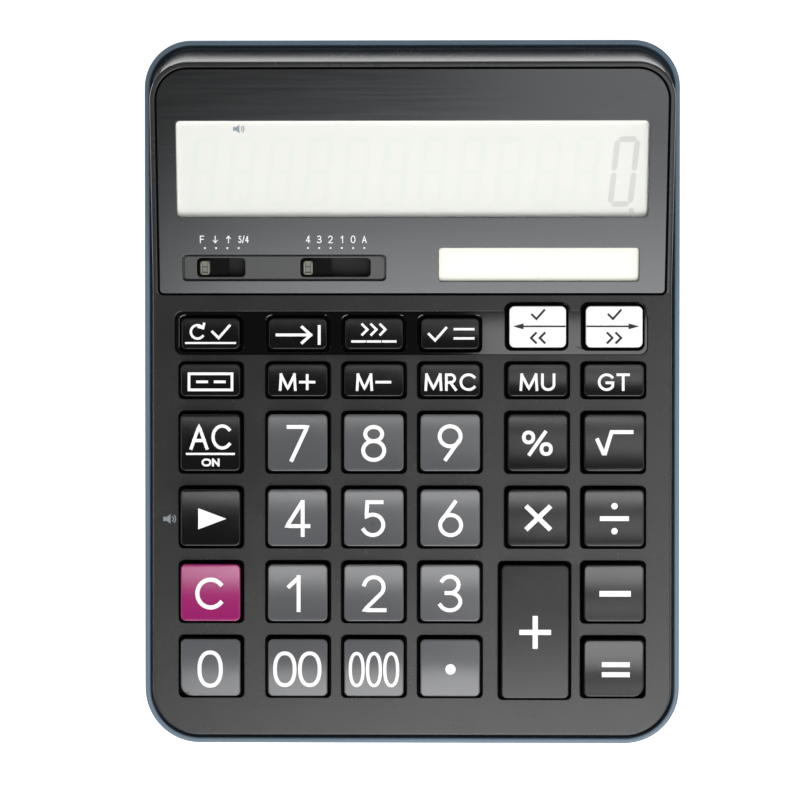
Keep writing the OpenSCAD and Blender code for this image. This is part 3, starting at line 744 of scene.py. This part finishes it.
# Each key: its cap, its place and its finish
KEYS = {}
for kind, first, y, row in KEY_ROWS:
    for x, key in zip(COLUMNS[first:], row.split()):
        KEYS["key_" + key] = kind, PLUS_AT if key == "plus" else (x, y), key_finish(kind, key)


def keys(finishes, skirt):
    """Every key cap, a coloured shell on a dark skirt whose near-black, dull colour is partly painted shade
    for the gaps round the key. Each form is modelled once and copied.
    """
    forms = {}
    for kind, cap in CAPS.items():
        forms[kind] = cap.model(kind)
        smooth(forms[kind])
    for name, (kind, at, finish) in KEYS.items():
        piece = copy_at(forms[kind], 0, 0, name)
        if name == "key_5":
            piece = join([piece, rod("pip", PIP_AT, 2, PIP_TOP, 0.55, 0.35, 20)])
        # The skirt, flange and stem take the second finish, which partly paints the shade in the gaps round
        # the key.
        for face in piece.data.polygons:
            face.material_index = int(face.center.z < CAPS[kind].rise - SHELL)
        where = PANEL @ Matrix.Translation((*at, 0))
        place(piece, where, (finishes[finish], skirt), body=name, node=name)
    for form in forms.values():
        bpy.data.objects.remove(form)


# ---- Lettering

def oval(x, y, rx, ry):
    """A closed ring whose sides run a little straighter than an ellipse's."""
    shares = [[math.copysign(abs(c) ** 0.88, c) for c in point] for point in arc(0, 0, 1, 1, 0, 360)]
    return [(x + rx * across, y + ry * up) for across, up in shares]


# Strokes of each character along their middle lines, one unit high. One that ends where it starts is a ring
GLYPHS = {
    "0": [oval(0.32, 0.5, 0.32, 0.5)],
    "1": [[(0.34, 1), (0.34, 0)], [(0, 0.72), (0.32, 0.97)]],
    "2": [arc(0.31, 0.7, 0.3, 0.3, 165, -38) + [(0.02, 0), (0.64, 0)]],
    "3": [arc(0.3, 0.755, 0.26, 0.245, 150, -90) + [(0.2, 0.51)],
          [(0.2, 0.51)] + arc(0.3, 0.255, 0.31, 0.255, 90, -155)],
    "4": [[(0.5, 0), (0.5, 1)], [(0.47, 0.98), (0, 0.27), (0.68, 0.27)]],
    "5": [[(0.56, 1), (0.14, 1)] + arc(0.3, 0.31, 0.31, 0.31, 128, -150)],
    "6": [arc(0.32, 0.305, 0.32, 0.305, 0, 360), [(0.45, 1), (0.07, 0.47)]],
    "7": [[(0, 1), (0.58, 1), (0.1, 0)]],
    "8": [arc(0.33, 0.785, 0.265, 0.215, 0, 360), arc(0.33, 0.286, 0.33, 0.286, 0, 360)],
    "9": [arc(0.32, 0.695, 0.32, 0.305, 0, 360), [(0.19, 0), (0.57, 0.53)]],
    "A": [[(0, 0), (0.42, 1), (0.84, 0)], [(0.14, 0.34), (0.7, 0.34)]],
    "C": [arc(0.5, 0.5, 0.5, 0.5, 42, 318)],
    "F": [[(0.5, 1), (0, 1), (0, 0)], [(0, 0.52), (0.44, 0.52)]],
    "G": [arc(0.5, 0.5, 0.5, 0.5, 42, 325) + [(0.92, 0.46), (0.52, 0.46)]],
    "M": [[(0, 0), (0.06, 1)], [(0.06, 1), (0.5, 0.06), (0.94, 1)], [(0.94, 1), (1, 0)]],
    "N": [[(0, 0), (0, 1)], [(0, 1), (0.72, 0)], [(0.72, 0), (0.72, 1)]],
    "O": [oval(0.5, 0.5, 0.5, 0.5)],
    "R": [[(0, 0), (0, 1), (0.26, 1)] + arc(0.28, 0.74, 0.26, 0.26, 80, -90) + [(0, 0.48)],
          [(0.26, 0.48), (0.6, 0)]],
    "T": [[(0, 1), (0.72, 1)], [(0.36, 1), (0.36, 0)]],
    "U": [[(0, 1)] + arc(0.36, 0.34, 0.36, 0.34, 180, 360) + [(0.72, 1)]],
    "+": [[(0, 0.5), (0.9, 0.5)], [(0.45, 0.05), (0.45, 0.95)]],
    "-": [[(0, 0.5), (0.9, 0.5)]],
    "x": [[(0, 0), (1, 1)], [(0, 1), (1, 0)]],
    "/": [[(0, -0.05), (0.42, 1.05)]],
    "%": [oval(0.2, 0.77, 0.2, 0.23), oval(0.95, 0.23, 0.2, 0.23), [(0.25, 0), (0.9, 1)]],
    "root": [[(0, 0.66), (0.26, 0.12), (0.33, 0.12), (0.62, 1), (1.5, 1)]],
    "down": [[(0.25, 1), (0.25, 0.1)], [(0, 0.35), (0.25, 0), (0.5, 0.35)]],
    "up": [[(0.25, 0), (0.25, 0.9)], [(0, 0.65), (0.25, 1), (0.5, 0.65)]],
}
SPACING = 0.34


def lay_out(characters, spacing):
    """The strokes of a row of characters, side by side."""
    strokes, x = [], 0
    for character in characters:
        glyph = GLYPHS[character]
        strokes += [[(x + px, py) for px, py in stroke] for stroke in glyph]
        x += max(px for stroke in glyph for px, py in stroke) + spacing
    return strokes


def stretched(value, values, low, high):
    """A value carried from the reach of all the values to another one; equal values go to its middle."""
    extent = max(values) - min(values)
    return low + (high - low) * ((value - min(values)) / extent if extent else 0.5)


def write(characters, left, low, right, high, stroke, spacing=SPACING):
    """The strokes of a row of characters that fills a box, each with its width."""
    rows = lay_out(characters, spacing)
    xs, ys = zip(*[point for row in rows for point in row])
    half = stroke / 2
    return [([(stretched(x, xs, left + half, right - half), stretched(y, ys, low + half, high - half))
              for x, y in row], stroke) for row in rows]


def finer(points):
    """The same line with more points, so that it can follow a curved top."""
    out = [Vector(points[0])]
    for point in points[1:]:
        start, end = out[-1].copy(), Vector(point)
        count = max(1, math.ceil((end - start).length / PRINT_STEP))
        out += [start.lerp(end, i / count) for i in range(1, count + 1)]
    return out


def ribbon(bm, points, start, end, height_at):
    """Adds a flat stroke with mitred corners to a mesh. Its width goes evenly from start to end."""
    path = finer(points)
    ringed = (path[0] - path[-1]).length < NEAR
    if ringed:
        path.pop()
    elif start == end:
        path[0] += (path[0] - path[1]).normalized() * start / 2
        path[-1] += (path[-1] - path[-2]).normalized() * start / 2
    count = len(path)
    rows = []
    for i, point in enumerate(path):
        back = point - path[i - 1] if i or ringed else path[1] - point
        ahead = path[(i + 1) % count] - point if i < count - 1 or ringed else back
        back, ahead = back.normalized(), ahead.normalized()
        way = (back + ahead).normalized()
        across = Vector((-way.y, way.x))
        width = start + (end - start) * i / (count - 1)
        reach = width / 2 / max(0.7, across.dot(Vector((-back.y, back.x))))
        spots = [point + across * reach * side for side in (1, 0, -1)]
        rows.append([bm.verts.new((*spot, height_at(*spot))) for spot in spots])
    for i in range(count if ringed else count - 1):
        a, b = rows[i], rows[(i + 1) % count]
        for k in range(2):
            bm.faces.new((a[k], a[k + 1], b[k + 1], b[k]))


# The print: how thick it is, how finely it follows the ground, and the lift that keeps crossing strokes apart
PRINT = 0.06
THIN_PRINT = 0.03
PRINT_STEP = 0.8
LAP = 0.01
LAPS = 3


def printed(name, strokes, height_at=lambda x, y: 0, thick=PRINT):
    """A thin raised print made of strokes, each a list of points and its width, or its two end widths."""
    bm = bmesh.new()
    for i, (points, width) in enumerate(strokes):
        start, end = width if isinstance(width, tuple) else (width, width)
        ribbon(bm, points, start, end, lambda x, y: height_at(x, y) + i % LAPS * LAP)
    piece = linked(name, bpy.data.meshes.new(name))
    bm.to_mesh(piece.data)
    bm.free()
    modify(piece, "SOLIDIFY", thickness=thick, offset=1)
    return piece


def line(x0, y0, x1, y1, stroke):
    """A straight stroke."""
    return [([(x0, y0), (x1, y1)], stroke)]


def dot(x, y, radius):
    """A round dot: a ring whose stroke meets itself in the middle."""
    return [(arc(x, y, radius, radius, 0, 360), radius * 2)]


def wedge(base, tip, y, height):
    """A solid arrow head, as one stroke that narrows to its tip."""
    return [([(base, y), (tip, y)], (height, 0.02))]


def arrow_ring(x, y, radius, stroke):
    """An open ring with an arrow head at its upper end."""
    ring_line = arc(x, y, radius, radius, 35, 320)
    tip_x, tip_y = ring_line[0]
    head = radius * 0.62
    barb = head * 0.25
    arrow = [(tip_x - head, tip_y + barb), (tip_x, tip_y), (tip_x + barb, tip_y + head)]
    return [(ring_line, stroke), (arrow, stroke)]


def chevrons(x, y, size, count, way, stroke):
    """A row of open arrow heads that point one way."""
    row = []
    for i in range(count):
        middle = x + (i - (count - 1) / 2) * size * 0.9
        back, tip = middle - way * size / 4, middle + way * size / 4
        row.append(([(back, y + size / 2), (tip, y), (back, y - size / 2)], stroke))
    return row


def tick(x, y, size, stroke):
    """A check mark."""
    shape = ((-0.5, 0.02), (-0.12, -0.36), (0.55, 0.4))
    return [([(x + size * across, y + size * up) for across, up in shape], stroke)]


# The print on each key, in millimetres about the middle of its cap
BOLD = 1.02
SMALL = 0.69
FINE = 0.5
LEGENDS = {
    "0": write("0", -3.4, -5.2, 3.2, 4.5, BOLD),
    "00": write("00", -6.4, -5, 6.2, 4.3, 0.98, 0.17),
    "000": write("000", -6.55, -5, 6.6, 4.2, 0.84, 0.22),
    "1": write("1", -2.7, -5, 0.75, 4.6, BOLD),
    "2": write("2", -3, -5, 3.3, 4.6, BOLD),
    "3": write("3", -3.05, -5, 3.15, 4.8, BOLD),
    "4": write("4", -3.3, -5, 3.3, 4.6, BOLD),
    "5": write("5", -3.15, -5, 2.95, 4.6, BOLD),
    "6": write("6", -3.1, -5, 3.35, 4.6, BOLD),
    "7": write("7", -2.85, -5, 3, 4.6, BOLD),
    "8": write("8", -3.3, -5, 3.2, 4.6, BOLD),
    "9": write("9", -3.25, -4.8, 3.2, 4.8, BOLD),
    "point": dot(0.1, -0.3, 0.68),
    "all_clear": write("AC", -5.4, -1.85, 5.3, 4.75, 0.84) + line(-6.1, -2.95, 6.1, -2.95, 0.55)
    + write("ON", -2.3, -6.2, 2.4, -4.15, FINE),
    "backspace": wedge(-3.2, 4.1, -0.3, 5.5),
    "clear": write("C", -4, -4.4, 3.15, 3.95, 1.08),
    "percent": write("%", -4.05, -3.4, 3.9, 3.15, 0.95),
    "root": write(["root"], -4.8, -3.25, 5, 3.3, BOLD),
    "multiply": write("x", -3.2, -3.25, 3.55, 3.3, 1.25),
    "divide": line(-3.05, -0.15, 3.25, -0.15, 1.25) + dot(0.1, 3.1, 0.42) + dot(0.1, -3.4, 0.42),
    "minus": line(-3, -0.15, 3.65, -0.15, 1.5),
    "equals": line(-2.45, 0.95, 3.5, 0.95, 1.3) + line(-2.45, -1.65, 3.5, -1.65, 1.3),
    "plus": line(-3.45, -0.1, 3.45, -0.1, 1.35) + line(0, -3.7, 0, -1.45, 1.35) + line(0, 1.25, 0, 3.5, 1.35),
    "memory_plus": write("M+", -4.9, -2.75, 4.6, 1.8, SMALL),
    "memory_minus": write("M-", -4.7, -2.75, 4.5, 1.8, SMALL),
    "memory_recall": write("MRC", -6.7, -2.75, 6.6, 1.8, SMALL),
    "markup": write("MU", -4.7, -2.75, 4.6, 1.8, SMALL),
    "grand_total": write("GT", -4.2, -2.75, 4.1, 1.8, SMALL),
    "display": [([(-5.6, -2.5), (5.6, -2.5), (5.6, 1.7), (-5.6, 1.7), (-5.6, -2.5)], 0.7)]
    + line(1.2, -0.4, 3.6, -0.4, 0.7) + line(-3.4, -0.4, -1, -0.4, 0.7),
    "recheck": arrow_ring(-3.4, 0.5, 1.75, 0.62) + tick(2.6, 0.4, 4.2, 0.66)
    + line(-6.4, -2.4, 6.4, -2.4, 0.5),
    "go_to": line(-5.4, -0.3, 3.4, -0.3, 0.75) + [([(1.2, 1.7), (3.4, -0.3), (1.2, -2.3)], 0.75)]
    + line(5.6, 1.9, 5.6, -2.5, 0.75),
    "auto_review": chevrons(0, 1.1, 2.6, 3, 1, 0.62) + line(-5.6, -2, -2.4, -2, 0.6)
    + line(-1.6, -2, 1.6, -2, 0.6) + line(2.4, -2, 5.6, -2, 0.6),
    "correct": tick(-3.4, -0.2, 4.2, 0.66) + line(1.2, 1.2, 6, 1.2, 0.62) + line(1.2, -1.2, 6, -1.2, 0.62),
    "check_back": tick(0, 3.1, 3, 0.55) + line(-4, 0.1, 7, 0.1, 0.4) + wedge(-3.7, -6.4, 0.1, 1.5)
    + chevrons(0, -2.9, 2.5, 2, -1, 0.55),
    "check_forward": tick(0, 3.1, 3, 0.55) + line(-7, 0.1, 4, 0.1, 0.4) + wedge(3.7, 6.4, 0.1, 1.5)
    + chevrons(0, -2.9, 2.5, 2, 1, 0.55),
}


def key_legends(light, dark):
    """The print on every key, which rides down with its key: dark on the white keys."""
    for key, strokes in LEGENDS.items():
        kind, at, finish = KEYS["key_" + key]
        cap = CAPS[kind]
        piece = printed("legend_" + key, strokes, lambda x, y: cap.top(y))
        ink = dark if kind == "white" else light
        place(piece, PANEL @ Matrix.Translation((*at, 0)), ink, body="key_" + key)


# The marks over each slide's stops: their characters, their width and how far they stand beside the stop,
# then how high they stand on the slope, and the dots under them
SWITCH_MARKS = {
    "rounding_knob": [("F", 1.1, -0.7), (["down"], 1.2, -0.2), (["up"], 1.2, 0.3), ("5/4", 2.7, 1.3)],
    "decimal_knob": [(mark, 0.65 if mark == "1" else 1.2, 0) for mark in "43210A"],
}
LABEL_LOW = 13.155
LABEL_HIGH = LABEL_LOW + 1.95
LABEL_STROKE = 0.22
DOT_Y = 11.88


def switch_labels(material):
    """The small marks over the stops of the two slide switches, and their dots."""
    strokes = []
    for knob, marks in SWITCH_MARKS.items():
        for i, (mark, width, shift) in enumerate(marks):
            x = KNOBS[knob] + i * STOP_PITCH
            left, right = x + shift - width / 2, x + shift + width / 2
            strokes += write(mark, left, LABEL_LOW, right, LABEL_HIGH, LABEL_STROKE) + dot(x, DOT_Y, 0.12)
    place(printed("switch_labels", strokes, thick=THIN_PRINT), DISPLAY, material)


def speaker(x, y, size):
    """A small horn with two waves."""
    horn = wedge(x + size * 0.12, x - size * 0.62, y, size * 1.1)
    grip = line(x - size * 0.55, y - size * 0.1, x - size * 0.55, y + size * 0.1, size * 0.3)
    waves = [(arc(x + size * 0.1, y, size * r, size * r, -40, 40), size * 0.13) for r in (0.35, 0.6)]
    return horn + grip + waves


def sound_marks(panel_ink, display_ink):
    """The sound mark beside the keys and the one at the top of the display."""
    beside = printed("sound_mark", speaker(-63.4, -33.1, 2.3), thick=THIN_PRINT)
    place(beside, PANEL, panel_ink)
    above = printed("display_sound_mark", speaker(-44.9, 42.6, 2), thick=FILM)
    place(above, DISPLAY_FACE, display_ink)


# ---- Underside

def battery_door(material):
    """The door over the battery, flush with the floor: grip ribs, a latch tongue and a seat for its screw."""
    x, y = DOOR_AT
    low = FLOOR_LOW
    door = slab("door", DOOR_AT, widened(DOOR, -0.4), low, FLOOR_HIGH, 1.3, 6)
    ease(door, low, 0.25, 2)
    seat = rod("seat", (x, DOOR_SCREW_Y), 0, low + 1.2, 2.2)
    combine(door, join([seat, rod("bore", (x, DOOR_SCREW_Y), 0, 4, 1.2)]))
    rib = block("ribs", (x - 5, y - 12.2, low - 0.1), (x + 5, y - 11.5, low + 0.4))
    combine(door, join(copies(rib, [(0, 1.6 * n) for n in range(5)])))
    combine(door, slab("tongue", (x, y - DOOR[1] / 2), (8, 3.4), low + 0.45, low + 1.35, 0.6, 3), "UNION")
    stand_in(door, TABLE, material, "battery_door")


def rubber_feet(material):
    """Four round feet with a soft edge and a shallow hollow."""
    foot = rod("feet", (0, 0), 0, FOOT_T, FOOT_R)
    pick(foot, "FACE", facing(0, -1))
    bpy.ops.mesh.inset(thickness=1.6)
    bpy.ops.transform.translate(value=(0, 0, 0.25))
    close()
    bevel(foot, lambda e: all(v.co.z < NEAR and v.co.xy.length > FOOT_R - 0.5 for v in e.verts), 0.5, 4)
    feet = join(copies(foot, FEET), "feet")
    stand_in(feet, TABLE, material, "rubber_feet")


# ---- Materials

def feed(tree, made, **values):
    """Sets a node's inputs, or links them where the value is a socket. i0 is the first input, i1 the next."""
    for key, value in values.items():
        target = made.inputs[int(key[1:]) if key[1:].isdigit() else key.replace("_", " ")]
        if isinstance(value, bpy.types.NodeSocket):
            tree.links.new(value, target)
        else:
            target.default_value = value


def add(tree, kind, settings=None, **values):
    """A node with its settings, and what its inputs are fed."""
    made = tree.nodes.new(kind)
    for key, value in (settings or {}).items():
        setattr(made, key, value)
    feed(tree, made, **values)
    return made


def noise(tree, where, scale, detail, roughness):
    """Soft noise over the surface."""
    made = add(tree, "ShaderNodeTexNoise", Vector=where, Scale=scale, Detail=detail, Roughness=roughness)
    return made.outputs["Fac"]


def ramp(tree, value, low, high, to_low=0, to_high=1):
    """A value stretched from one range to another, and held at its ends."""
    return add(tree, "ShaderNodeMapRange", i0=value, i1=low, i2=high, i3=to_low, i4=to_high).outputs[0]


def calc(tree, how, a, b):
    """One sum on two values."""
    return add(tree, "ShaderNodeMath", {"operation": how}, i0=a, i1=b).outputs[0]


def new_group(name, inputs, outputs):
    """A node group, its inputs with their usual values, and the piece's own coordinates."""
    group = bpy.data.node_groups.new(name, "ShaderNodeTree")
    for key, value in inputs.items():
        item = group.interface.new_socket(name=key, in_out="INPUT", socket_type="NodeSocketFloat")
        item.default_value = value
    for key in outputs:
        kind = "NodeSocketVector" if key == "Normal" else "NodeSocketFloat"
        group.interface.new_socket(name=key, in_out="OUTPUT", socket_type=kind)
    return group, add(group, "NodeGroupInput").outputs, add(group, "ShaderNodeTexCoord").outputs["Object"]


def grain_bump(group, depth, height):
    """The normal of a surface with a fine relief."""
    made = add(group, "ShaderNodeBump", Strength=depth, Distance=0.0001, Height=height)
    return made.outputs["Normal"]


def moulded_group():
    """Fine moulded grain: a normal, and masks of where the surface is polished and where it is paler."""
    inputs = {"Scale": 2500, "Depth": 0.1}
    group, inside, where = new_group("Moulded", inputs, ("Normal", "Polish", "Shade"))
    fine = noise(group, where, inside["Scale"], 3, 0.6)
    marks = noise(group, where, 90, 4, 0.65)
    cloud = noise(group, where, 22, 2, 0.5)
    add(group, "NodeGroupOutput", Normal=grain_bump(group, inside["Depth"], fine),
        Polish=ramp(group, marks, 0.35, 0.65), Shade=ramp(group, cloud, 0.3, 0.7))


def brushed_group():
    """Brushed metal: long fine lines across the part, as a normal and a mask."""
    group, inside, where = new_group("Brushed", {"Depth": 0.1}, ("Normal", "Lines"))
    drawn = add(group, "ShaderNodeMapping", Vector=where, Scale=(30, 1300, 1300)).outputs[0]
    lines = noise(group, drawn, 1, 3, 0.7)
    add(group, "NodeGroupOutput", Normal=grain_bump(group, inside["Depth"], lines), Lines=lines)


def new_material(name):
    """A material, its tree and its Principled shader."""
    material = bpy.data.materials.new(name)
    material.use_nodes = True
    tree = material.node_tree
    return material, tree, tree.nodes["Principled BSDF"]


def linear(value):
    """A channel of a written colour, 0 to 255, as the light it stands for."""
    value /= 255
    return value / 12.92 if value <= 0.04045 else ((value + 0.055) / 1.055) ** 2.4


def shades(tree, share, tone, vary):
    """A written colour that gets a little darker and lighter with a mask."""
    darker, lighter = [[linear(c) * (1 + way * vary) for c in tone] + [1] for way in (-1, 1)]
    return add(tree, "ShaderNodeMix", {"data_type": "RGBA"}, i0=share, i6=darker, i7=lighter).outputs[2]


def plastic(name, tone, rough, scale=2500, depth=0.1, vary=0.08, specular=0.5):
    """Moulded plastic: fine grain, a little unevenness in colour and gloss."""
    material, tree, shader = new_material(name)
    moulded = {"node_tree": bpy.data.node_groups["Moulded"]}
    grain = add(tree, "ShaderNodeGroup", moulded, Scale=scale, Depth=depth).outputs
    feed(tree, shader, Base_Color=shades(tree, grain["Shade"], tone, vary), Normal=grain["Normal"],
         Roughness=ramp(tree, grain["Polish"], 0, 1, rough * 0.92, rough * 1.08), Specular_IOR_Level=specular)
    return material


def brushed(name, tone, rough, depth):
    """Brushed metal with lines along the part's width."""
    material, tree, shader = new_material(name)
    lines = add(tree, "ShaderNodeGroup", {"node_tree": bpy.data.node_groups["Brushed"]}, Depth=depth).outputs
    feed(tree, shader, Base_Color=shades(tree, lines["Lines"], tone, 0.1), Normal=lines["Normal"],
         Roughness=ramp(tree, lines["Lines"], 0.3, 0.7, rough * 0.9, rough * 1.1), Metallic=1)
    return material


def clear(name):
    """Clear plastic that lets the lamps through."""
    material, tree, shader = new_material(name)
    feed(tree, shader, Base_Color=(1, 1, 1, 1), Transmission_Weight=1, IOR=1.4, Roughness=0)
    shadow = add(tree, "ShaderNodeLightPath").outputs["Is Shadow Ray"]
    through = add(tree, "ShaderNodeBsdfTransparent").outputs[0]
    blend = add(tree, "ShaderNodeMixShader", i0=shadow, i1=shader.outputs[0], i2=through).outputs[0]
    feed(tree, tree.nodes["Material Output"], Surface=blend)
    return material


def floor_white():
    """White that the lamps shade, and that is white as well where it is seen directly or in a reflection."""
    material, tree, shader = new_material("floor_white")
    path = add(tree, "ShaderNodeLightPath").outputs
    seen = calc(tree, "MAXIMUM", path["Is Camera Ray"], path["Is Transmission Ray"])
    seen = calc(tree, "MULTIPLY", seen, 0.75)
    glow = calc(tree, "MAXIMUM", seen, calc(tree, "MULTIPLY", path["Is Glossy Ray"], 1.6))
    feed(tree, shader, Base_Color=(0.9, 0.9, 0.9, 1), Roughness=0.9, Emission_Color=(1, 1, 1, 1),
         Emission_Strength=glow)
    return material


# ---- Studio

# The camera's lens and shift, its place over the key panel, and how far it leans about X and Y
LENS = 90.42
SHIFT = (0.04, -0.0314)
EYE_AT = (-5.179, 11.403, 524.446)
EYE_LEAN = (0.013, -0.012)


def camera():
    """The view from above the keys, square to the key panel."""
    data = bpy.data.cameras.new("camera")
    data.lens = LENS
    data.sensor_width = 36
    data.shift_x, data.shift_y = SHIFT
    data.clip_end = 20
    eye = linked("camera", data)
    lean = (Matrix.Rotation(EYE_LEAN[0], 4, "X") @ Matrix.Rotation(EYE_LEAN[1], 4, "Y")).transposed()
    place_at = Matrix.Translation(PANEL @ Vector(EYE_AT) * MM)
    eye.matrix_world = place_at @ Matrix.Rotation(PANEL_SLOPE, 4, "X") @ lean
    bpy.context.scene.camera = eye


def area_light(name, at, size, power):
    """A softbox aimed at the object."""
    data = bpy.data.lights.new(name, "AREA")
    data.shape = "RECTANGLE"
    data.size, data.size_y = size
    data.energy = power
    lamp = linked(name, data)
    back = Vector(at).normalized()
    side = (Vector((1, 0, 0)) - back * back.x).normalized()
    turn = Matrix((side, back.cross(side), back)).transposed().to_4x4()
    lamp.matrix_world = Matrix.Translation(at) @ turn
    lamp.visible_transmission = False


def floor():
    """The white table, which keeps the object's shadow."""
    bpy.ops.mesh.primitive_plane_add(size=6, location=(0, 0, 0))
    plane = bpy.context.object
    plane.name = "floor"
    plane.data.materials.append(floor_white())


def world():
    """White near the horizon and dimmer overhead, as in a tent lit from the front."""
    made = bpy.data.worlds.new("studio")
    bpy.context.scene.world = made
    made.use_nodes = True
    made.cycles_visibility.transmission = False
    tree = made.node_tree
    tree.nodes.clear()
    where = add(tree, "ShaderNodeTexCoord").outputs["Generated"]
    height = add(tree, "ShaderNodeSeparateXYZ", Vector=where).outputs["Z"]
    path = add(tree, "ShaderNodeLightPath").outputs
    spread = calc(tree, "SUBTRACT", 0.7, calc(tree, "MULTIPLY", path["Is Glossy Ray"], 0.7))
    mirrored = calc(tree, "MULTIPLY", ramp(tree, height, 0.3, 0.97, 0.95, 0.06), path["Is Glossy Ray"])
    strength = calc(tree, "MAXIMUM", calc(tree, "ADD", spread, mirrored), path["Is Camera Ray"])
    back = add(tree, "ShaderNodeBackground", Strength=strength).outputs[0]
    add(tree, "ShaderNodeOutputWorld", Surface=back)


# ---- Assembly

def inner_materials():
    """Finishes for the CAD nodes that keep their own shape, most of them inside the case."""
    carried = (
        (plastic("board_green", (38, 92, 60), 0.35, 900, 0.15, 0.15), "main_board"),
        (plastic("board_black", (38, 38, 39), 0.6, 900, 0.1, specular=0.15), "switch_board"),
        (plastic("silicone_grey", (170, 174, 173), 0.6, 1500, 0.15), "key_membrane"),
        (plastic("ribbon_amber", (196, 150, 92), 0.3, 900, 0.05), "lcd_ribbon"),
        (plastic("chip_black", (30, 30, 32), 0.5, 3500, 0.2), "processor_chip"),
        (plastic("wire_cover", (150, 44, 44), 0.4, 1500, 0.05), "lead_wires"),
        (brushed("brass_disc", (205, 165, 90), 0.3, 0.1), "buzzer"),
        (brushed("bright_steel", (190, 190, 192), 0.28, 0.08),
         "battery_cell battery_contacts battery_door_screw case_screws board_screws"),
    )
    for finish, nodes in carried:
        for node in nodes.split():
            for slot in frame["nodes"][node].material_slots:
                slot.material = finish


def build():
    """Every piece with its finish."""
    moulded_group()
    brushed_group()
    blue = plastic("case_blue", (98, 118, 134), 0.36, 2200, 0.12)
    black = plastic("panel_black", (42, 42, 43), 0.26, 2600, 0.15)
    # A near-black, dull colour that paints the shade on the upper case's inner walls, seats and openings.
    painted_shade = plastic("matt_black", (5, 5, 6), 0.6, 2600, 0.15, specular=0.05)
    lower_case(blue)
    upper_case((black, painted_shade))
    display_plate(brushed("display_metal", (76, 77, 78), 0.21, 0.01))
    display_window(clear("clear_window"))
    lcd_glass(plastic("lcd_face", (252, 253, 247), 0.45, 3000, 0.02, 0.01))
    lcd_holder(plastic("holder_white", (246, 247, 243), 0.5, 2500, 0.05, 0.02))
    display_digits(plastic("display_ink", (230, 229, 226), 0.5, vary=0.02),
                   plastic("display_faint", (248, 252, 244), 0.5, vary=0.01))
    solar_cell(plastic("solar_face", (250, 250, 236), 0.3, 1200, 0.05, 0.02),
               plastic("solar_line", (244, 244, 229), 0.3))
    switch_plate(plastic("switch_grey", (62, 63, 63), 0.36))
    grip = plastic("knob_dark", (124, 124, 115), 0.45)
    shield = plastic("shield_black", (8, 8, 9), 0.6, specular=0.1)
    for name, x in KNOBS.items():
        slide_knob(name, x, (grip, shield))
    key_row_strip(plastic("gloss_black", (4, 4, 5), 0.06, 1500, 0.01, specular=0.9))
    caps = {
        "function_keys": plastic("function_keys", (12, 12, 13), 0.18, 2800, 0.04, specular=0.6),
        "number_keys": plastic("number_keys", (88, 89, 92), 0.2, 2800, 0.04, specular=0.7),
        "clear_key": plastic("clear_key", (156, 24, 104), 0.18, 2800, 0.04, specular=0.8),
        "white_keys": plastic("white_keys", (254, 254, 254), 0.4, 2800, 0.06, 0.02),
    }
    # The skirts are near black and dull, partly as painted shade in the gaps round the keys.
    keys(caps, plastic("key_skirts", (6, 6, 7), 0.55, 2800, 0.1, specular=0.08))
    ink = plastic("print_white", (253, 253, 253), 0.5, 3000, 0.02, 0.01)
    key_legends(ink, plastic("print_black", (30, 30, 32), 0.5, 3000, 0.02))
    switch_labels(ink)
    sound_marks(plastic("sound_grey", (138, 144, 148), 0.5), plastic("display_mark", (150, 160, 170), 0.5))
    battery_door(blue)
    rubber_feet(plastic("rubber_black", (34, 35, 37), 0.7, 1800, 0.3))
    inner_materials()


build()
camera()
area_light("softbox", (0.21, -0.85, 1.11), (0.9, 1.1), 13.8)
area_light("overhead", (0.3, -0.17, 1.37), (0.46, 0.21), 0.66)
world()
floor()
bpy.context.scene.view_settings.view_transform = "Standard"
